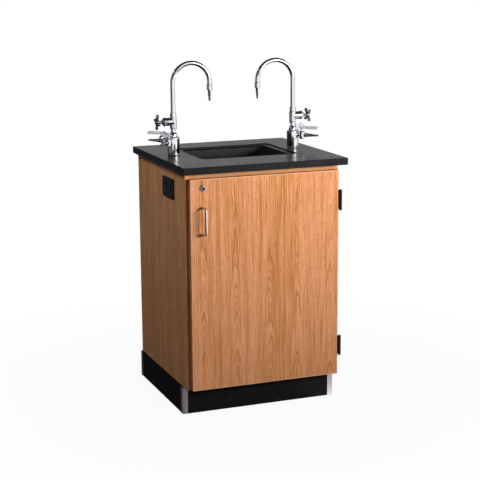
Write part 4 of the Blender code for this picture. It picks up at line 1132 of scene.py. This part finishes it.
def screw_head(name, radius, rise, cuts, finish):
    """A raised countersunk head on local Z, with straight slots cut across it."""
    profile = [(0, -0.0008), (radius * 0.6, -0.0008), (radius, 0.0), (radius * 0.8, rise * 0.6), (0, rise)]
    head = turned(softened(profile, radius * 0.2), None, 28)
    size = (radius * 1.5, radius * 0.24, rise * 1.4)
    slots = [block(size, Matrix.Rotation(turn, 4, "Z") @ lifted(0, rise * 0.95)) for turn in cuts]
    return smooth_mesh(name, joined(head, slots, "DIFFERENCE"), finish, 35)


def drive(mesh, name, spot, facing, body, turn):
    """Sets a screw on a face, turned by an angle of its own."""
    piece = new_object(name, mesh)
    aim = Vector(facing).to_track_quat("Z", "Y").to_matrix().to_4x4()
    piece.matrix_world = Matrix.Translation(spot) @ aim @ Matrix.Rotation(turn, 4, "Z")
    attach(piece, body)


print("screws have a slot or a cross")

# %% [markdown]
# ## Where the screws go
# Each screw is an object of its own, which rides on the body that its metal belongs to. Screws are
# never all driven to one angle, so their turns differ.

# %% Screws
GUARD_SCREW_Z = 0.0115
guard_head = screw_head("guard_screw", 0.004, 0.0016, CROSS, "chrome")
for corner in CORNERS:
    low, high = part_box("corner_guard_" + corner)
    middle = (low + high) / 2
    y, out = (low.y, -1) if corner.startswith("front") else (high.y, 1)
    spot = (middle.x, y, GUARD_SCREW_Z)
    drive(guard_head, "guard_screw_" + corner, spot, (0, out, 0), "cabinet", 0.4)
    x, out = (low.x, -1) if corner.endswith("left") else (high.x, 1)
    spot = (x, middle.y, GUARD_SCREW_Z)
    drive(guard_head, "guard_side_screw_" + corner, spot, (out, 0, 0), "cabinet", 1.1)

LEAF_THICK = 0.0019
hinge_head = screw_head("hinge_screw", 0.003, 0.0005, CROSS, "dark_bronze")
frame_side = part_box("right_side_panel")[1].x + LEAF_THICK
door_side = door_high.x + LEAF_THICK
for label in ("upper", "lower"):
    low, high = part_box("hinge_%s_frame_leaf" % label)
    middle = (low.z + high.z) / 2
    for k, shift in enumerate((-0.022, 0.0, 0.022)):
        spot = (frame_side, high.y - (0.015 if k == 1 else 0.011), middle + shift)
        name = "hinge_%s_frame_screw_%d" % (label, k)
        drive(hinge_head, name, spot, (1, 0, 0), "cabinet", 0.3 * k)
        spot = (door_side, door_high.y - 0.0065, middle + shift)
        name = "hinge_%s_door_screw_%d" % (label, k)
        drive(hinge_head, name, spot, (1, 0, 0), "door_assembly", 0.5 * k)

plate_head = screw_head("plate_screw", 0.0034, 0.0012, (0.0,), "black_plastic")
low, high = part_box("socket_plate")
spot = (low.x, (low.y + high.y) / 2, (low.z + high.z) / 2)
drive(plate_head, "socket_plate_screw", spot, (-1, 0, 0), "cabinet", pi / 2)
print("screws on the guards, hinges and plate")
